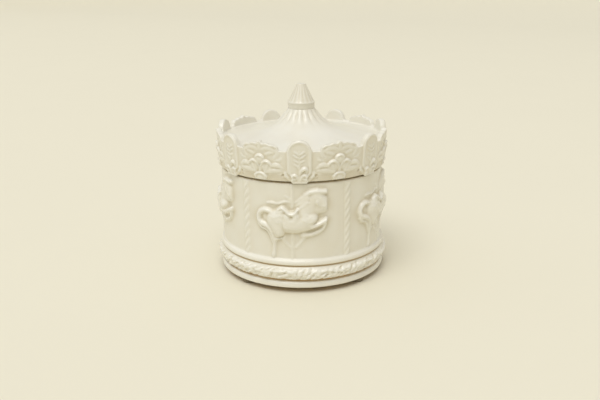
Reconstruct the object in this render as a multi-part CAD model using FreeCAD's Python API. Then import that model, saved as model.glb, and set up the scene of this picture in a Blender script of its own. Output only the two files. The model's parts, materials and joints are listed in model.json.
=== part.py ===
import FreeCAD
import Part
import math
import os

# Wind-up carousel music box: a ceramic base, a turning ceramic drum, a lift-off ceramic lid
# and, inside, a pinned-cylinder movement whose spring barrel turns the drum.
# Millimetres, +Z up. The origin is the centre of the footprint, on the surface it stands on.
# The front, with the main medallion of the lid, faces -Y. Azimuths run from -Y towards +X.

Vector = FreeCAD.Vector
ORIGIN = Vector(0, 0, 0)
AXIS_X = Vector(1, 0, 0)
AXIS_Y = Vector(0, 1, 0)
AXIS_Z = Vector(0, 0, 1)
FULL_TURN = 360.0
QUARTER_TURN = 90.0

# Clearances
FIXED_GAP = 0.02
RUNNING_GAP = 0.05
THRUST_GAP = 0.15
LID_CLEARANCE = 0.4
LIP_CLEARANCE = 0.8
TURNING_SEAM = 0.4
PIN_CLEARANCE = 0.15
TURNTABLE_CLEARANCE = 0.6
SCREW_CLEARANCE = 0.2

# Drum
DRUM_RADIUS = 53.2
DRUM_WALL = 5.0
DRUM_HEIGHT = 52.5
DRUM_FLOOR = 5.0
BEAD_HEIGHT = 4.4
BEAD_PROJECTION = 1.5
HORSE_COUNT = 5
HORSE_AZIMUTH = -7.0
HORSE_LIFT = 25.0
LEG_RELIEF = 1.1
SHIN_RELIEF = 1.6
TAIL_RELIEF = 2.2
FLANK_RELIEF = 2.5
HEAD_RELIEF = 2.3
FOREARM_RELIEF = 3.0
TRUNK_RELIEF = 3.7
RELIEF_ROOT = 1.0
POLE_RADIUS = 0.9
POLE_PROJECTION = 0.8
COLUMN_AZIMUTH = 31.5
COLUMN_RADIUS = 2.3
COLUMN_PROJECTION = 1.5

# Base
PAD_COUNT = 4
PAD_RADIUS = 4.0
PAD_HEIGHT = 3.9
FOOT_PROJECTION = 3.5
FOOT_HEIGHT = 4.2
FOOT_ROUNDING = 0.8
FOOT_WALL = 13.7
GROOVE_HEIGHT = 0.8
GROOVE_DEPTH = 3.0
LEAF_BAND_HEIGHT = 9.0
LEAF_BAND_PROJECTION = 4.2
LEAF_EDGE_PROJECTION = 1.8
KEY_RECESS_DEPTH = 9.8
BASE_FLOOR = 3.6
LIP_THICKNESS = 1.6
LIP_HEIGHT = 2.6
FLOOR_HOLE_MARGIN = 1.0

# Lid
SPIGOT_DEPTH = 3.0
SPIGOT_WALL = 2.2
REVEAL_HEIGHT = 0.7
REVEAL_DEPTH = 0.8
CROWN_FOOT_PROJECTION = 1.2
CROWN_TOP_PROJECTION = 3.2
CROWN_WALL = 3.2
CROWN_HEIGHT = 26.9
VALLEY_HEIGHT = 20.1
PANEL_COUNT = 7
PANEL_WIDTH = 23.6
PANEL_SHOULDER_HEIGHT = 22.6
PANEL_PEAK_HEIGHT = 25.7
MEDALLION_AZIMUTH = -1.6
MEDALLION_WIDTH = 15.4
MEDALLION_ARCH = 7.7
MEDALLION_FOOT_WIDTH = 10.0
MEDALLION_TAPER = 6.4
MEDALLION_RELIEF = 0.9
MEDALLION_BORDER = 1.5
MEDALLION_FIELD_RELIEF = 0.5
CROWN_LEAF_RELIEF = 1.0
SPRIG_RELIEF = 1.4
LID_WALL = 4.0
ROOF_RIM_HEIGHT = 19.2
ROOF_RIM_INSET = 2.4
ROOF_SLOPE_SHARE = 0.36
ROOF_SWEEP = 0.175
ROOF_POINTS = 9
ROOF_POINT_BIAS = 1.6
COLLAR_LIFT = 36.9
COLLAR_RADIUS = 8.6
COLLAR_HEIGHT = 4.7
FINIAL_HEIGHT = 11.0
FINIAL_TOP_RADIUS = 2.95

# Spring motor
PLATE_THICKNESS = 2.5
BUSH_RADIUS = 4.0
BUSH_DROP = 2.5
BUSH_PROUD = 0.2
ARBOR_RADIUS = 2.4
ARBOR_HUB_RADIUS = 3.2
ARBOR_PIVOT_RADIUS = 1.6
ARBOR_PIVOT_LENGTH = 1.2
RATCHET_RADIUS = 5.2
RATCHET_DEPTH = 0.7
RATCHET_THICKNESS = 1.0
RATCHET_TEETH = 24
CLICK_AZIMUTH = 240.0
CLICK_LENGTH = 7.0
CLICK_THICKNESS = 0.4
CLICK_GAP = 0.15
CLICK_EYE_RADIUS = 1.6
CLICK_SCREW_RADIUS = 0.8
CLICK_HEAD_HEIGHT = 0.3
BARREL_GAP = 0.8
BARREL_RADIUS = 11.8
BARREL_WALL = 0.9
BARREL_HEIGHT = 6.4
BARREL_COVER = 1.0
COVER_REGISTER = 0.7
SPRING_THICKNESS = 0.22
SPRING_TURNS = 8
SPRING_MARGIN = 0.3
SPRING_POINTS_PER_TURN = 16
STUD_RADIUS = 2.0
STUD_SHOULDER_RADIUS = 3.6
STUD_SHOULDER_HEIGHT = 1.5
STUD_HUB_RADIUS = 3.8
STUD_HUB_HEIGHT = 3.0
STUD_BORE_DEPTH = 2.6

# Winding key
KEY_HUB_RADIUS = 4.2
KEY_WING_SPAN = 27.0
KEY_WING_THICKNESS = 2.2
KEY_WING_HEIGHT = 6.2
KEY_EYE_RADIUS = 1.5
KEY_FLOOR_GAP = 4.5
KEY_TOP_GAP = 0.8
KEY_SOCKET_DEPTH = 6.0

# Turntable
DISC_RADIUS = 22.0
DISC_THICKNESS = 1.2
CORK_THICKNESS = 0.8
NUT_SIDES = 6
NUT_WIDTH = 7.0
NUT_HEIGHT = 2.0
WASHER_RADIUS = 5.0
WASHER_THICKNESS = 0.5
NUT_POCKET_MARGIN = 0.8
NUT_POCKET_SPARE = 0.3
LINER_THICKNESS = 1.0
LINER_MARGIN = 0.4

# Gear train
PRESSURE_ANGLE = math.radians(20.0)
TOOTH_SHARE = 0.40
ADDENDUM_FACTOR = 0.8
DEDENDUM_FACTOR = 1.1
CROWN_WHEEL_TEETH = 30
CROWN_WHEEL_MODULE = 0.7
CROWN_TOOTH_LENGTH = 2.2
CROWN_TOOTH_SHARE = 0.36
CYLINDER_PINION_TEETH = 10
CYLINDER_PINION_LENGTH = 2.0
CYLINDER_GEAR_TEETH = 36
CYLINDER_GEAR_MODULE = 0.4
CYLINDER_GEAR_THICKNESS = 1.0
GOVERNOR_PINION_TEETH = 12
GOVERNOR_PINION_LENGTH = 1.3
WORM_WHEEL_TEETH = 16
WORM_MODULE = 0.5
WORM_WHEEL_THICKNESS = 0.8
WORM_PITCH_RADIUS = 1.4
WORM_CORE_RADIUS = 0.85
WORM_LENGTH = 6.3
WORM_THREAD_SHARE = 0.34

# Cylinder and comb
CYLINDER_RADIUS = 6.5
CYLINDER_LENGTH = 13.0
CYLINDER_END_GAP = 0.6
CYLINDER_ARBOR_RADIUS = 1.0
PIN_RADIUS = 0.22
PIN_HEIGHT = 0.8
PIN_ROOT = 0.5
PINS_PER_TRACK = 6
PIN_SCATTER = 222.5
PIN_TRACK_STEP = 77.0
NOTE_COUNT = 18
COMB_TOOTH_SHARE = 0.74
COMB_TOOTH_THICKNESS = 0.6
COMB_THICKNESS = 1.5
COMB_DEPTH = 16.0
COMB_BASS_LENGTH = 8.0
COMB_TREBLE_LENGTH = 4.5
RISER_SETBACK = 8.5
COMB_SCREW_SPACING = 7.0
COMB_SCREW_INSET = 4.0
BRACKET_THICKNESS = 1.4
BRACKET_WIDTH = 10.0
BRACKET_EYE_RADIUS = 4.4
BRACKET_ARM_RADIUS = 3.0
BRACKET_FOOT_LENGTH = 5.4
BRACKET_FOOT_THICKNESS = 1.2
BRACKET_GAP = 0.6
GEAR_GAP = 0.5

# Governor
GOVERNOR_ARBOR_RADIUS = 0.7
WORM_SHAFT_RADIUS = 0.6
WORM_WHEEL_GAP = 0.6
SHEET_THICKNESS = 1.0
GOVERNOR_ARM_GAP = 1.6
GOVERNOR_ARM_HEIGHT = 4.4
GOVERNOR_FOOT_THICKNESS = 1.2
GOVERNOR_WIDTH = 6.4
GOVERNOR_BACK_GAP = 3.9
GOVERNOR_TAB = 4.4
FAN_RADIUS = 3.4
FAN_HEIGHT = 5.0
FAN_THICKNESS = 0.5
FAN_HUB_RADIUS = 1.2
FAN_LIFT = 2.2
WORM_END_GAP = 1.6

# Screws
SCREW_RADIUS = 1.0
SCREW_HEAD_RADIUS = 2.0
SCREW_HEAD_HEIGHT = 1.1
SCREW_DEPTH = 2.0
MOUNT_SCREW_RADIUS = 1.5
MOUNT_HEAD_RADIUS = 2.8
MOUNT_HEAD_HEIGHT = 1.3
MOUNT_BOSS_RADIUS = 3.0
MOUNT_BOSS_HEIGHT = 1.5
MOUNT_TAIL = 0.4
SCREW_SLOT_WIDTH = 0.5
SCREW_SLOT_DEPTH = 0.5
MOUNT_SCREW_PLACES = [(-10.0, -10.8), (-10.0, 10.8), (32.0, 10.5)]

# Outline of the bedplate, seen from above
PLATE_MARGIN = 1.6

# Galloping horse, from its pole and its mid height: layers of a relief and an outline (along, up)
HORSE_LAYERS = [
    (LEG_RELIEF, [
        (-12.0, -9.0), (-6.6, -9.0), (-8.8, -13.5), (-9.8, -18.0), (-10.1, -24.4), (-13.1, -24.6),
        (-12.4, -20.0), (-12.1, -14.0),
    ]),
    (LEG_RELIEF, [
        (-7.4, -8.0), (-3.2, -8.0), (-3.6, -13.2), (1.3, -18.0), (0.2, -19.9), (-4.0, -16.2),
        (-6.4, -13.0),
    ]),
    (LEG_RELIEF, [
        (5.6, -6.0), (10.0, -6.0), (8.2, -12.6), (3.9, -18.2), (1.5, -17.6), (5.6, -12.4),
    ]),
    (SHIN_RELIEF, [
        (21.4, -1.0), (20.9, -5.0), (17.2, -8.6), (12.8, -10.3), (6.8, -11.2), (5.4, -9.7),
        (6.8, -8.2), (12.4, -7.5), (16.2, -5.8), (18.6, -1.6),
    ]),
    (TAIL_RELIEF, [
        (-12.0, 6.6), (-17.2, 7.3), (-21.4, 5.0), (-23.0, 0.6), (-22.0, -4.6), (-16.6, -7.6),
        (-13.6, -13.0), (-11.2, -16.8), (-10.2, -13.0), (-11.4, -7.6), (-15.0, -2.4), (-19.0, -0.4),
        (-18.8, 2.8), (-13.0, 3.4),
    ]),
    (HEAD_RELIEF, [
        (1.0, 4.6), (4.4, 8.4), (3.4, 11.6), (6.4, 15.2), (10.0, 18.4), (15.0, 19.6), (20.6, 19.2),
        (21.4, 12.0), (21.0, 6.2), (18.4, 5.6), (16.6, 7.4), (15.6, 3.0), (12.0, 0.0), (6.0, 0.0),
    ]),
    (FLANK_RELIEF, [
        (-15.6, 0.2), (-14.0, 4.6), (-9.6, 7.0), (-5.6, 8.6), (-2.4, 5.8), (0.8, 5.0), (3.6, 6.8),
        (10.0, 7.0), (15.0, 4.4), (16.2, 1.0), (14.4, -4.0), (9.0, -6.6), (2.0, -7.4), (-3.0, -7.0),
        (-4.6, -10.2), (-8.0, -11.4), (-11.2, -9.4), (-13.6, -5.0),
    ]),
    (FOREARM_RELIEF, [
        (9.4, -5.4), (15.0, -4.6), (21.0, -2.0), (21.6, 1.2), (17.0, 0.4), (9.0, -0.6),
    ]),
    (TRUNK_RELIEF, [
        (-13.2, -0.6), (-11.0, 3.8), (-5.0, 5.0), (0.0, 3.4), (5.0, 3.6), (11.0, 4.2), (14.0, 1.4),
        (12.6, -2.6), (8.0, -4.0), (1.0, -3.2), (-4.2, -4.2), (-6.4, -8.4), (-9.4, -8.6),
        (-11.8, -5.0),
    ]),
]

# Ornament of one panel of the crown, from its middle and the lid's seat, mirrored where it is paired
PANEL_BOSSES = [(0.0, 14.2, 3.1, 1.6), (0.0, 4.2, 3.2, 1.1)]
PAIRED_PANEL_BOSSES = [(4.5, 10.4, 3.9, 1.5)]
PANEL_LEAVES = [
    ((6.0, 10.4), (14.2, 9.8), 1.7),
    ((3.4, 7.2), (14.2, 7.0), 1.6),
    ((1.8, 20.6), (10.8, 19.4), 1.2),
]

# Ornament of one medallion, from its middle and the lid's seat, mirrored
PAIRED_MEDALLION_BOSSES = [(3.6, 5.2, 2.2, 1.7)]
MEDALLION_LEAVES = [((0.4, 13.2), (4.4, 16.8), 1.3), ((0.4, 8.6), (4.6, 11.6), 1.2)]

# Heights that follow from the sizes
FOOT_Z = PAD_HEIGHT
GROOVE_Z = FOOT_Z + FOOT_HEIGHT
LEAF_Z = GROOVE_Z + GROOVE_HEIGHT
BASE_TOP_Z = LEAF_Z + LEAF_BAND_HEIGHT
RECESS_Z = FOOT_Z + KEY_RECESS_DEPTH
PLATE_Z = RECESS_Z + BASE_FLOOR
PLATE_TOP_Z = PLATE_Z + PLATE_THICKNESS
DRUM_Z = BASE_TOP_Z + TURNING_SEAM
DRUM_TOP_Z = DRUM_Z + DRUM_HEIGHT
BEAD_TOP_Z = DRUM_Z + BEAD_HEIGHT
HORSE_Z = BEAD_TOP_Z + HORSE_LIFT
BUSH_TOP_Z = PLATE_TOP_Z + BUSH_PROUD
RATCHET_Z = BUSH_TOP_Z + THRUST_GAP
RATCHET_TOP_Z = RATCHET_Z + RATCHET_THICKNESS
BARREL_Z = RATCHET_TOP_Z + BARREL_GAP
BARREL_TOP_Z = BARREL_Z + BARREL_HEIGHT
COVER_TOP_Z = BARREL_TOP_Z + BARREL_COVER
CROWN_PITCH_Z = COVER_TOP_Z + DEDENDUM_FACTOR * CROWN_WHEEL_MODULE
CYLINDER_PINION_RADIUS = CROWN_WHEEL_MODULE * CYLINDER_PINION_TEETH / 2
TRAIN_Z = CROWN_PITCH_Z + CYLINDER_PINION_RADIUS
DISC_Z = TRAIN_Z + CYLINDER_RADIUS + PIN_HEIGHT + TURNTABLE_CLEARANCE
DISC_TOP_Z = DISC_Z + DISC_THICKNESS
DRUM_FLOOR_Z = DISC_TOP_Z + CORK_THICKNESS
DRUM_FLOOR_TOP_Z = DRUM_FLOOR_Z + DRUM_FLOOR
LID_Z = DRUM_TOP_Z
CROWN_Z = LID_Z + REVEAL_HEIGHT
CROWN_TOP_Z = LID_Z + CROWN_HEIGHT
VALLEY_Z = LID_Z + VALLEY_HEIGHT
ROOF_RIM_Z = LID_Z + ROOF_RIM_HEIGHT
COLLAR_Z = LID_Z + COLLAR_LIFT
COLLAR_TOP_Z = COLLAR_Z + COLLAR_HEIGHT
FINIAL_TOP_Z = COLLAR_TOP_Z + FINIAL_HEIGHT

# Radii that follow from the sizes
DRUM_BORE_RADIUS = DRUM_RADIUS - DRUM_WALL
LIP_RADIUS = DRUM_BORE_RADIUS - LIP_CLEARANCE
LIP_BORE_RADIUS = LIP_RADIUS - LIP_THICKNESS
FOOT_RADIUS = DRUM_RADIUS + FOOT_PROJECTION
RECESS_RADIUS = FOOT_RADIUS - FOOT_WALL
GROOVE_RADIUS = FOOT_RADIUS - GROOVE_DEPTH
LEAF_EDGE_RADIUS = DRUM_RADIUS + LEAF_EDGE_PROJECTION
LEAF_BAND_RADIUS = DRUM_RADIUS + LEAF_BAND_PROJECTION
PAD_CIRCLE_RADIUS = (RECESS_RADIUS + FOOT_RADIUS - FOOT_ROUNDING) / 2
SPIGOT_RADIUS = DRUM_BORE_RADIUS - LID_CLEARANCE
SPIGOT_BORE_RADIUS = SPIGOT_RADIUS - SPIGOT_WALL
CROWN_FOOT_RADIUS = DRUM_RADIUS + CROWN_FOOT_PROJECTION
CROWN_TOP_RADIUS = DRUM_RADIUS + CROWN_TOP_PROJECTION
REVEAL_RADIUS = DRUM_RADIUS - REVEAL_DEPTH
ROOF_RIM_RADIUS = DRUM_RADIUS - ROOF_RIM_INSET
LID_BORE_RADIUS = CROWN_FOOT_RADIUS - LID_WALL
BARREL_BORE_RADIUS = BARREL_RADIUS - BARREL_WALL
CYLINDER_GEAR_RADIUS = CYLINDER_GEAR_MODULE * CYLINDER_GEAR_TEETH / 2
GOVERNOR_PINION_RADIUS = CYLINDER_GEAR_MODULE * GOVERNOR_PINION_TEETH / 2
WORM_WHEEL_RADIUS = WORM_MODULE * WORM_WHEEL_TEETH / 2

# Places along the cylinder's arbor, which lies along +X
PINION_X = BARREL_RADIUS - (CROWN_TOOTH_LENGTH + CYLINDER_PINION_LENGTH) / 2
INNER_BRACKET_X = BARREL_RADIUS + BRACKET_GAP
CYLINDER_X = INNER_BRACKET_X + BRACKET_THICKNESS + CYLINDER_END_GAP
CYLINDER_END_X = CYLINDER_X + CYLINDER_LENGTH
CYLINDER_GEAR_X = CYLINDER_END_X + GEAR_GAP
OUTER_BRACKET_X = CYLINDER_GEAR_X + CYLINDER_GEAR_THICKNESS + GEAR_GAP
OUTER_BRACKET_END_X = OUTER_BRACKET_X + BRACKET_THICKNESS
WORM_WHEEL_X = OUTER_BRACKET_END_X + WORM_WHEEL_GAP
WORM_X = WORM_WHEEL_X + WORM_WHEEL_THICKNESS / 2
GOVERNOR_ARM_X = WORM_WHEEL_X + WORM_WHEEL_THICKNESS + GOVERNOR_ARM_GAP
GOVERNOR_END_X = GOVERNOR_ARM_X + SHEET_THICKNESS
GOVERNOR_X = GOVERNOR_END_X - GOVERNOR_WIDTH
GOVERNOR_ARBOR_Y = -(CYLINDER_GEAR_RADIUS + GOVERNOR_PINION_RADIUS)
WORM_Y = GOVERNOR_ARBOR_Y - WORM_WHEEL_RADIUS - WORM_PITCH_RADIUS
GOVERNOR_BACK_Y = WORM_Y - GOVERNOR_BACK_GAP - SHEET_THICKNESS
GOVERNOR_FOOT_TOP_Z = PLATE_TOP_Z + GOVERNOR_FOOT_THICKNESS
FAN_Z = GOVERNOR_FOOT_TOP_Z + FAN_LIFT
WORM_Z = TRAIN_Z - WORM_LENGTH / 2
WORM_TOP_Z = TRAIN_Z + WORM_LENGTH / 2
GOVERNOR_TOP_Z = WORM_TOP_Z + WORM_END_GAP
COMB_TIP_Y = CYLINDER_RADIUS + PIN_HEIGHT + PIN_CLEARANCE
COMB_END_Y = COMB_TIP_Y + COMB_DEPTH
COMB_Z = TRAIN_Z - COMB_TOOTH_THICKNESS / 2
RISER_Y = COMB_TIP_Y + RISER_SETBACK


def cylinder(radius, low, high, x=0.0, y=0.0):
    """Upright solid cylinder between two heights."""
    return Part.makeCylinder(radius, high - low, Vector(x, y, low), AXIS_Z)


def tube(radius, bore, low, high, x=0.0, y=0.0):
    """Upright cylinder with a through bore."""
    return cylinder(radius, low, high, x, y).cut(cylinder(bore, low - 1, high + 1, x, y))


def cross_cylinder(radius, start, end, y, z):
    """Solid cylinder along +X."""
    return Part.makeCylinder(radius, end - start, Vector(start, y, z), AXIS_X)


def block(x, y, z):
    """Box between three pairs of limits."""
    return Part.makeBox(x[1] - x[0], y[1] - y[0], z[1] - z[0], Vector(x[0], y[0], z[0]))


def turned(shape, angle, axis=AXIS_Z, centre=ORIGIN):
    """Copy of a shape turned about an axis, in degrees."""
    copy = shape.copy()
    copy.rotate(centre, axis, angle)
    return copy


def spread(shape, count, start=0.0):
    """Copies of a shape at equal steps round the Z axis."""
    return [turned(shape, start + FULL_TURN * i / count) for i in range(count)]


def line(first, last):
    """Straight edge."""
    return Part.LineSegment(first, last).toShape()


def arc(first, middle, last):
    """Arc edge through three points."""
    return Part.Arc(first, middle, last).toShape()


def smooth(points, closed=False):
    """Smooth curve edge through the given points."""
    curve = Part.BSplineCurve()
    curve.interpolate(Points=points, PeriodicFlag=closed)
    return curve.toShape()


def section_point(radius, height):
    """Point of a turned section."""
    return Vector(radius, 0, height)


def lines_through(points):
    """Straight edges from each point to the next."""
    return [line(first, last) for first, last in zip(points, points[1:])]


def turn_section(edges):
    """Solid of revolution about Z from the edges of a closed section."""
    face = Part.Face(Part.Wire(edges))
    return face.revolve(ORIGIN, AXIS_Z, FULL_TURN)


def turn_points(pairs):
    """Solid of revolution from straight lines through (radius, height) pairs."""
    points = [section_point(*pair) for pair in pairs]
    return turn_section(lines_through(points + points[:1]))


def radial_prism(wire_edges, azimuth, inner, outer):
    """Prism along a radius: edges are drawn on the plane y = 0 in (along, up)."""
    face = Part.Face(Part.Wire(wire_edges))
    face.translate(Vector(0, -inner, 0))
    return turned(face.extrude(Vector(0, inner - outer, 0)), azimuth)


def gear_edges(teeth, module, share):
    """Edges of an involute spur gear about Z, with a tooth centred on +X."""
    pitch = module * teeth / 2
    base = pitch * math.cos(PRESSURE_ANGLE)
    tip = pitch + ADDENDUM_FACTOR * module
    root = pitch - DEDENDUM_FACTOR * module
    start = max(base, root)
    half_pitch_angle = share * math.pi / teeth
    pitch_involute = math.tan(PRESSURE_ANGLE) - PRESSURE_ANGLE

    def half_angle(radius):
        pressure = math.acos(min(1.0, base / radius))
        return half_pitch_angle + pitch_involute - (math.tan(pressure) - pressure)

    def polar(radius, angle):
        return Vector(radius * math.cos(angle), radius * math.sin(angle), 0)

    edges = []
    step = 2 * math.pi / teeth
    foot = half_angle(start)
    for index in range(teeth):
        middle = index * step
        right = [polar(r, middle - half_angle(r)) for r in (start, (start + tip) / 2, tip)]
        left = [polar(r, middle + half_angle(r)) for r in (tip, (start + tip) / 2, start)]
        root_right = polar(root, middle - foot)
        root_left = polar(root, middle + foot)
        next_root = polar(root, middle + step - foot)
        if root < start:
            edges.append(line(root_right, right[0]))
        edges.append(arc(*right))
        edges.append(arc(right[2], polar(tip, middle), left[0]))
        edges.append(arc(*left))
        if root < start:
            edges.append(line(left[2], root_left))
        edges.append(arc(root_left, polar(root, middle + step / 2), next_root))
    return edges


def gear(teeth, module, thickness, bore, phase=0.0):
    """Spur gear along +X from x = 0, whose first tooth points along -Z before the phase turn."""
    face = Part.Face(Part.Wire(gear_edges(teeth, module, TOOTH_SHARE)))
    solid = face.extrude(Vector(0, 0, thickness)).cut(cylinder(bore, -1, thickness + 1))
    solid.rotate(ORIGIN, AXIS_Z, phase)
    solid.rotate(ORIGIN, AXIS_Y, QUARTER_TURN)
    return solid


def slotted_screw(radius, head_radius, head_height, length):
    """Screw with its head above z = 0 and its shank below."""
    head = cylinder(head_radius, 0, head_height)
    slot_low = head_height - SCREW_SLOT_DEPTH
    half_slot = SCREW_SLOT_WIDTH / 2
    slot = block((-head_radius - 1, head_radius + 1), (-half_slot, half_slot), (slot_low, head_height + 1))
    return head.fuse(cylinder(radius, -length, 0)).cut(slot).removeSplitter()


def small_screw(grip):
    """Screw of the movement that passes through a given thickness into its thread."""
    return slotted_screw(SCREW_RADIUS, SCREW_HEAD_RADIUS, SCREW_HEAD_HEIGHT, grip + SCREW_DEPTH)


def placed(shape, x, y, z):
    """Copy of a shape moved to a point."""
    copy = shape.copy()
    copy.translate(Vector(x, y, z))
    return copy


def make_base():
    """Ceramic base: rounded foot, leaf band, floor plate and the lip that the drum turns round."""
    rounding = FOOT_ROUNDING
    diagonal = rounding * math.sqrt(0.5)
    foot_low = section_point(FOOT_RADIUS - rounding, FOOT_Z)
    foot_high = section_point(FOOT_RADIUS, FOOT_Z + rounding)
    foot_middle = section_point(FOOT_RADIUS - rounding + diagonal, FOOT_Z + rounding - diagonal)
    shoulder_low = section_point(FOOT_RADIUS, GROOVE_Z - GROOVE_HEIGHT)
    shoulder_high = section_point(FOOT_RADIUS - GROOVE_HEIGHT, GROOVE_Z)
    band_low = section_point(LEAF_EDGE_RADIUS, LEAF_Z)
    band_middle = section_point(LEAF_BAND_RADIUS, (LEAF_Z + BASE_TOP_Z) / 2)
    band_high = section_point(LEAF_EDGE_RADIUS, BASE_TOP_Z)
    bore = BUSH_RADIUS + FLOOR_HOLE_MARGIN
    lip_top = BASE_TOP_Z + LIP_HEIGHT
    inside = [
        band_high,
        section_point(LIP_RADIUS, BASE_TOP_Z),
        section_point(LIP_RADIUS, lip_top),
        section_point(LIP_BORE_RADIUS, lip_top),
        section_point(LIP_BORE_RADIUS, PLATE_Z),
        section_point(bore, PLATE_Z),
        section_point(bore, RECESS_Z),
        section_point(RECESS_RADIUS, RECESS_Z),
        section_point(RECESS_RADIUS, FOOT_Z),
        foot_low,
    ]
    groove = [
        shoulder_high,
        section_point(GROOVE_RADIUS, GROOVE_Z),
        section_point(GROOVE_RADIUS, LEAF_Z),
        band_low,
    ]
    edges = [arc(foot_low, foot_middle, foot_high), line(foot_high, shoulder_low)]
    edges.append(line(shoulder_low, shoulder_high))
    edges += lines_through(groove)
    edges.append(arc(band_low, band_middle, band_high))
    edges += lines_through(inside)
    base = turn_section(edges)
    hole = MOUNT_SCREW_RADIUS + SCREW_CLEARANCE
    return base.cut([cylinder(hole, RECESS_Z - 1, PLATE_Z + 1, x, y) for x, y in MOUNT_SCREW_PLACES])


def make_foot_pads():
    """Soft pads under the foot."""
    pad = cylinder(PAD_RADIUS, 0, PAD_HEIGHT, 0, -PAD_CIRCLE_RADIUS)
    return Part.makeCompound(spread(pad, PAD_COUNT, FULL_TURN / PAD_COUNT / 2))


def wall_edges(outline):
    """Closed smooth edge of a figure laid round the drum's wall, at the horses' height."""
    radius = DRUM_RADIUS
    points = [Vector(radius * math.sin(along / radius), 0, HORSE_Z + up) for along, up in outline]
    return [smooth(points, closed=True)]


def horse_layer(relief, outline):
    """One layer of a horse, rooted in the drum's wall and raised by a relief."""
    root = DRUM_RADIUS - RELIEF_ROOT
    near = root * math.cos(math.radians(FULL_TURN / HORSE_COUNT / 2))
    prism = radial_prism(wall_edges(outline), 0.0, near, DRUM_RADIUS + 2 * relief)
    return prism.common(tube(DRUM_RADIUS + relief, root, BEAD_TOP_Z, DRUM_TOP_Z))


def nut_seat_height():
    """Height of the floor of the nut's pocket."""
    return DRUM_FLOOR_TOP_Z - WASHER_THICKNESS - NUT_HEIGHT - NUT_POCKET_SPARE


def make_drum():
    """Ceramic drum: bead, wall, floor with a nut pocket, horses on poles and columns."""
    bead_low = section_point(DRUM_RADIUS + BEAD_PROJECTION / 2, DRUM_Z)
    bead_middle = section_point(DRUM_RADIUS + BEAD_PROJECTION, DRUM_Z + BEAD_HEIGHT / 2)
    bead_high = section_point(DRUM_RADIUS, BEAD_TOP_Z)
    pocket = WASHER_RADIUS + NUT_POCKET_MARGIN
    pocket_z = nut_seat_height()
    bore = STUD_RADIUS + RUNNING_GAP
    inside = [
        bead_high,
        section_point(DRUM_RADIUS, DRUM_TOP_Z),
        section_point(DRUM_BORE_RADIUS, DRUM_TOP_Z),
        section_point(DRUM_BORE_RADIUS, DRUM_FLOOR_TOP_Z),
        section_point(pocket, DRUM_FLOOR_TOP_Z),
        section_point(pocket, pocket_z),
        section_point(bore, pocket_z),
        section_point(bore, DRUM_FLOOR_Z),
        section_point(DRUM_BORE_RADIUS, DRUM_FLOOR_Z),
        section_point(DRUM_BORE_RADIUS, DRUM_Z),
        bead_low,
    ]
    shell = turn_section([arc(bead_low, bead_middle, bead_high)] + lines_through(inside))
    pole_y = DRUM_RADIUS + POLE_PROJECTION - POLE_RADIUS
    pole = cylinder(POLE_RADIUS, BEAD_TOP_Z, DRUM_TOP_Z, 0, -pole_y)
    column_y = DRUM_RADIUS + COLUMN_PROJECTION - COLUMN_RADIUS
    column = cylinder(COLUMN_RADIUS, BEAD_TOP_Z, DRUM_TOP_Z, 0, -column_y)
    horse = pole.fuse([horse_layer(*layer) for layer in HORSE_LAYERS]).removeSplitter()
    raised = spread(horse, HORSE_COUNT, HORSE_AZIMUTH) + spread(column, HORSE_COUNT, COLUMN_AZIMUTH)
    return shell.fuse(raised).removeSplitter()


def roof_height(radius):
    """Height of the tent roof: a gentle slope from the rim that sweeps up to the collar."""
    share = (radius - COLLAR_RADIUS) / (ROOF_RIM_RADIUS - COLLAR_RADIUS)
    slope = ROOF_SLOPE_SHARE * (1 - share)
    sweep = (1 - ROOF_SLOPE_SHARE) * math.exp(-share / ROOF_SWEEP)
    return ROOF_RIM_Z + (COLLAR_Z - ROOF_RIM_Z) * (slope + sweep)


def roof_edge(outer, drop):
    """Smooth roof line from an outer radius in to the collar, lowered by a drop."""
    points = []
    for index in range(ROOF_POINTS):
        share = (1 - index / (ROOF_POINTS - 1)) ** ROOF_POINT_BIAS
        radius = COLLAR_RADIUS + (outer - COLLAR_RADIUS) * share
        points.append(section_point(radius, roof_height(radius) - drop))
    return smooth(points), points[0], points[-1]


def medallion_edges(inset=0.0):
    """Outline of a medallion, or one inside it: arched top, straight sides and a narrower foot."""
    half = MEDALLION_WIDTH / 2 - inset
    foot = MEDALLION_FOOT_WIDTH / 2 - inset
    foot_z = CROWN_Z + inset
    spring_z = CROWN_TOP_Z - MEDALLION_ARCH
    taper_z = CROWN_Z + MEDALLION_TAPER
    left = Vector(-half, 0, spring_z)
    right = Vector(half, 0, spring_z)
    foot_right = Vector(foot, 0, foot_z)
    foot_left = Vector(-foot, 0, foot_z)
    sides = [right, Vector(half, 0, taper_z), foot_right, foot_left, Vector(-half, 0, taper_z), left]
    return lines_through(sides) + [arc(left, Vector(0, 0, CROWN_TOP_Z - inset), right)]


def crown_radius(up):
    """Radius of the crown's outer face at a height above the lid's seat."""
    share = (up - REVEAL_HEIGHT) / (CROWN_HEIGHT - REVEAL_HEIGHT)
    return CROWN_FOOT_RADIUS + (CROWN_TOP_RADIUS - CROWN_FOOT_RADIUS) * share


def crown_ring(inner_relief, outer_relief):
    """Ring along the crown's outer face, between two reliefs over it."""
    return turn_points([
        (CROWN_FOOT_RADIUS + inner_relief, CROWN_Z),
        (CROWN_FOOT_RADIUS + outer_relief, CROWN_Z),
        (CROWN_TOP_RADIUS + outer_relief, CROWN_TOP_Z),
        (CROWN_TOP_RADIUS + inner_relief, CROWN_TOP_Z),
    ])


def crown_prism(edges):
    """Prism through the crown's wall at the front."""
    return radial_prism(edges, 0.0, ROOF_RIM_RADIUS - CROWN_WALL, CROWN_TOP_RADIUS + CROWN_WALL)


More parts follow.
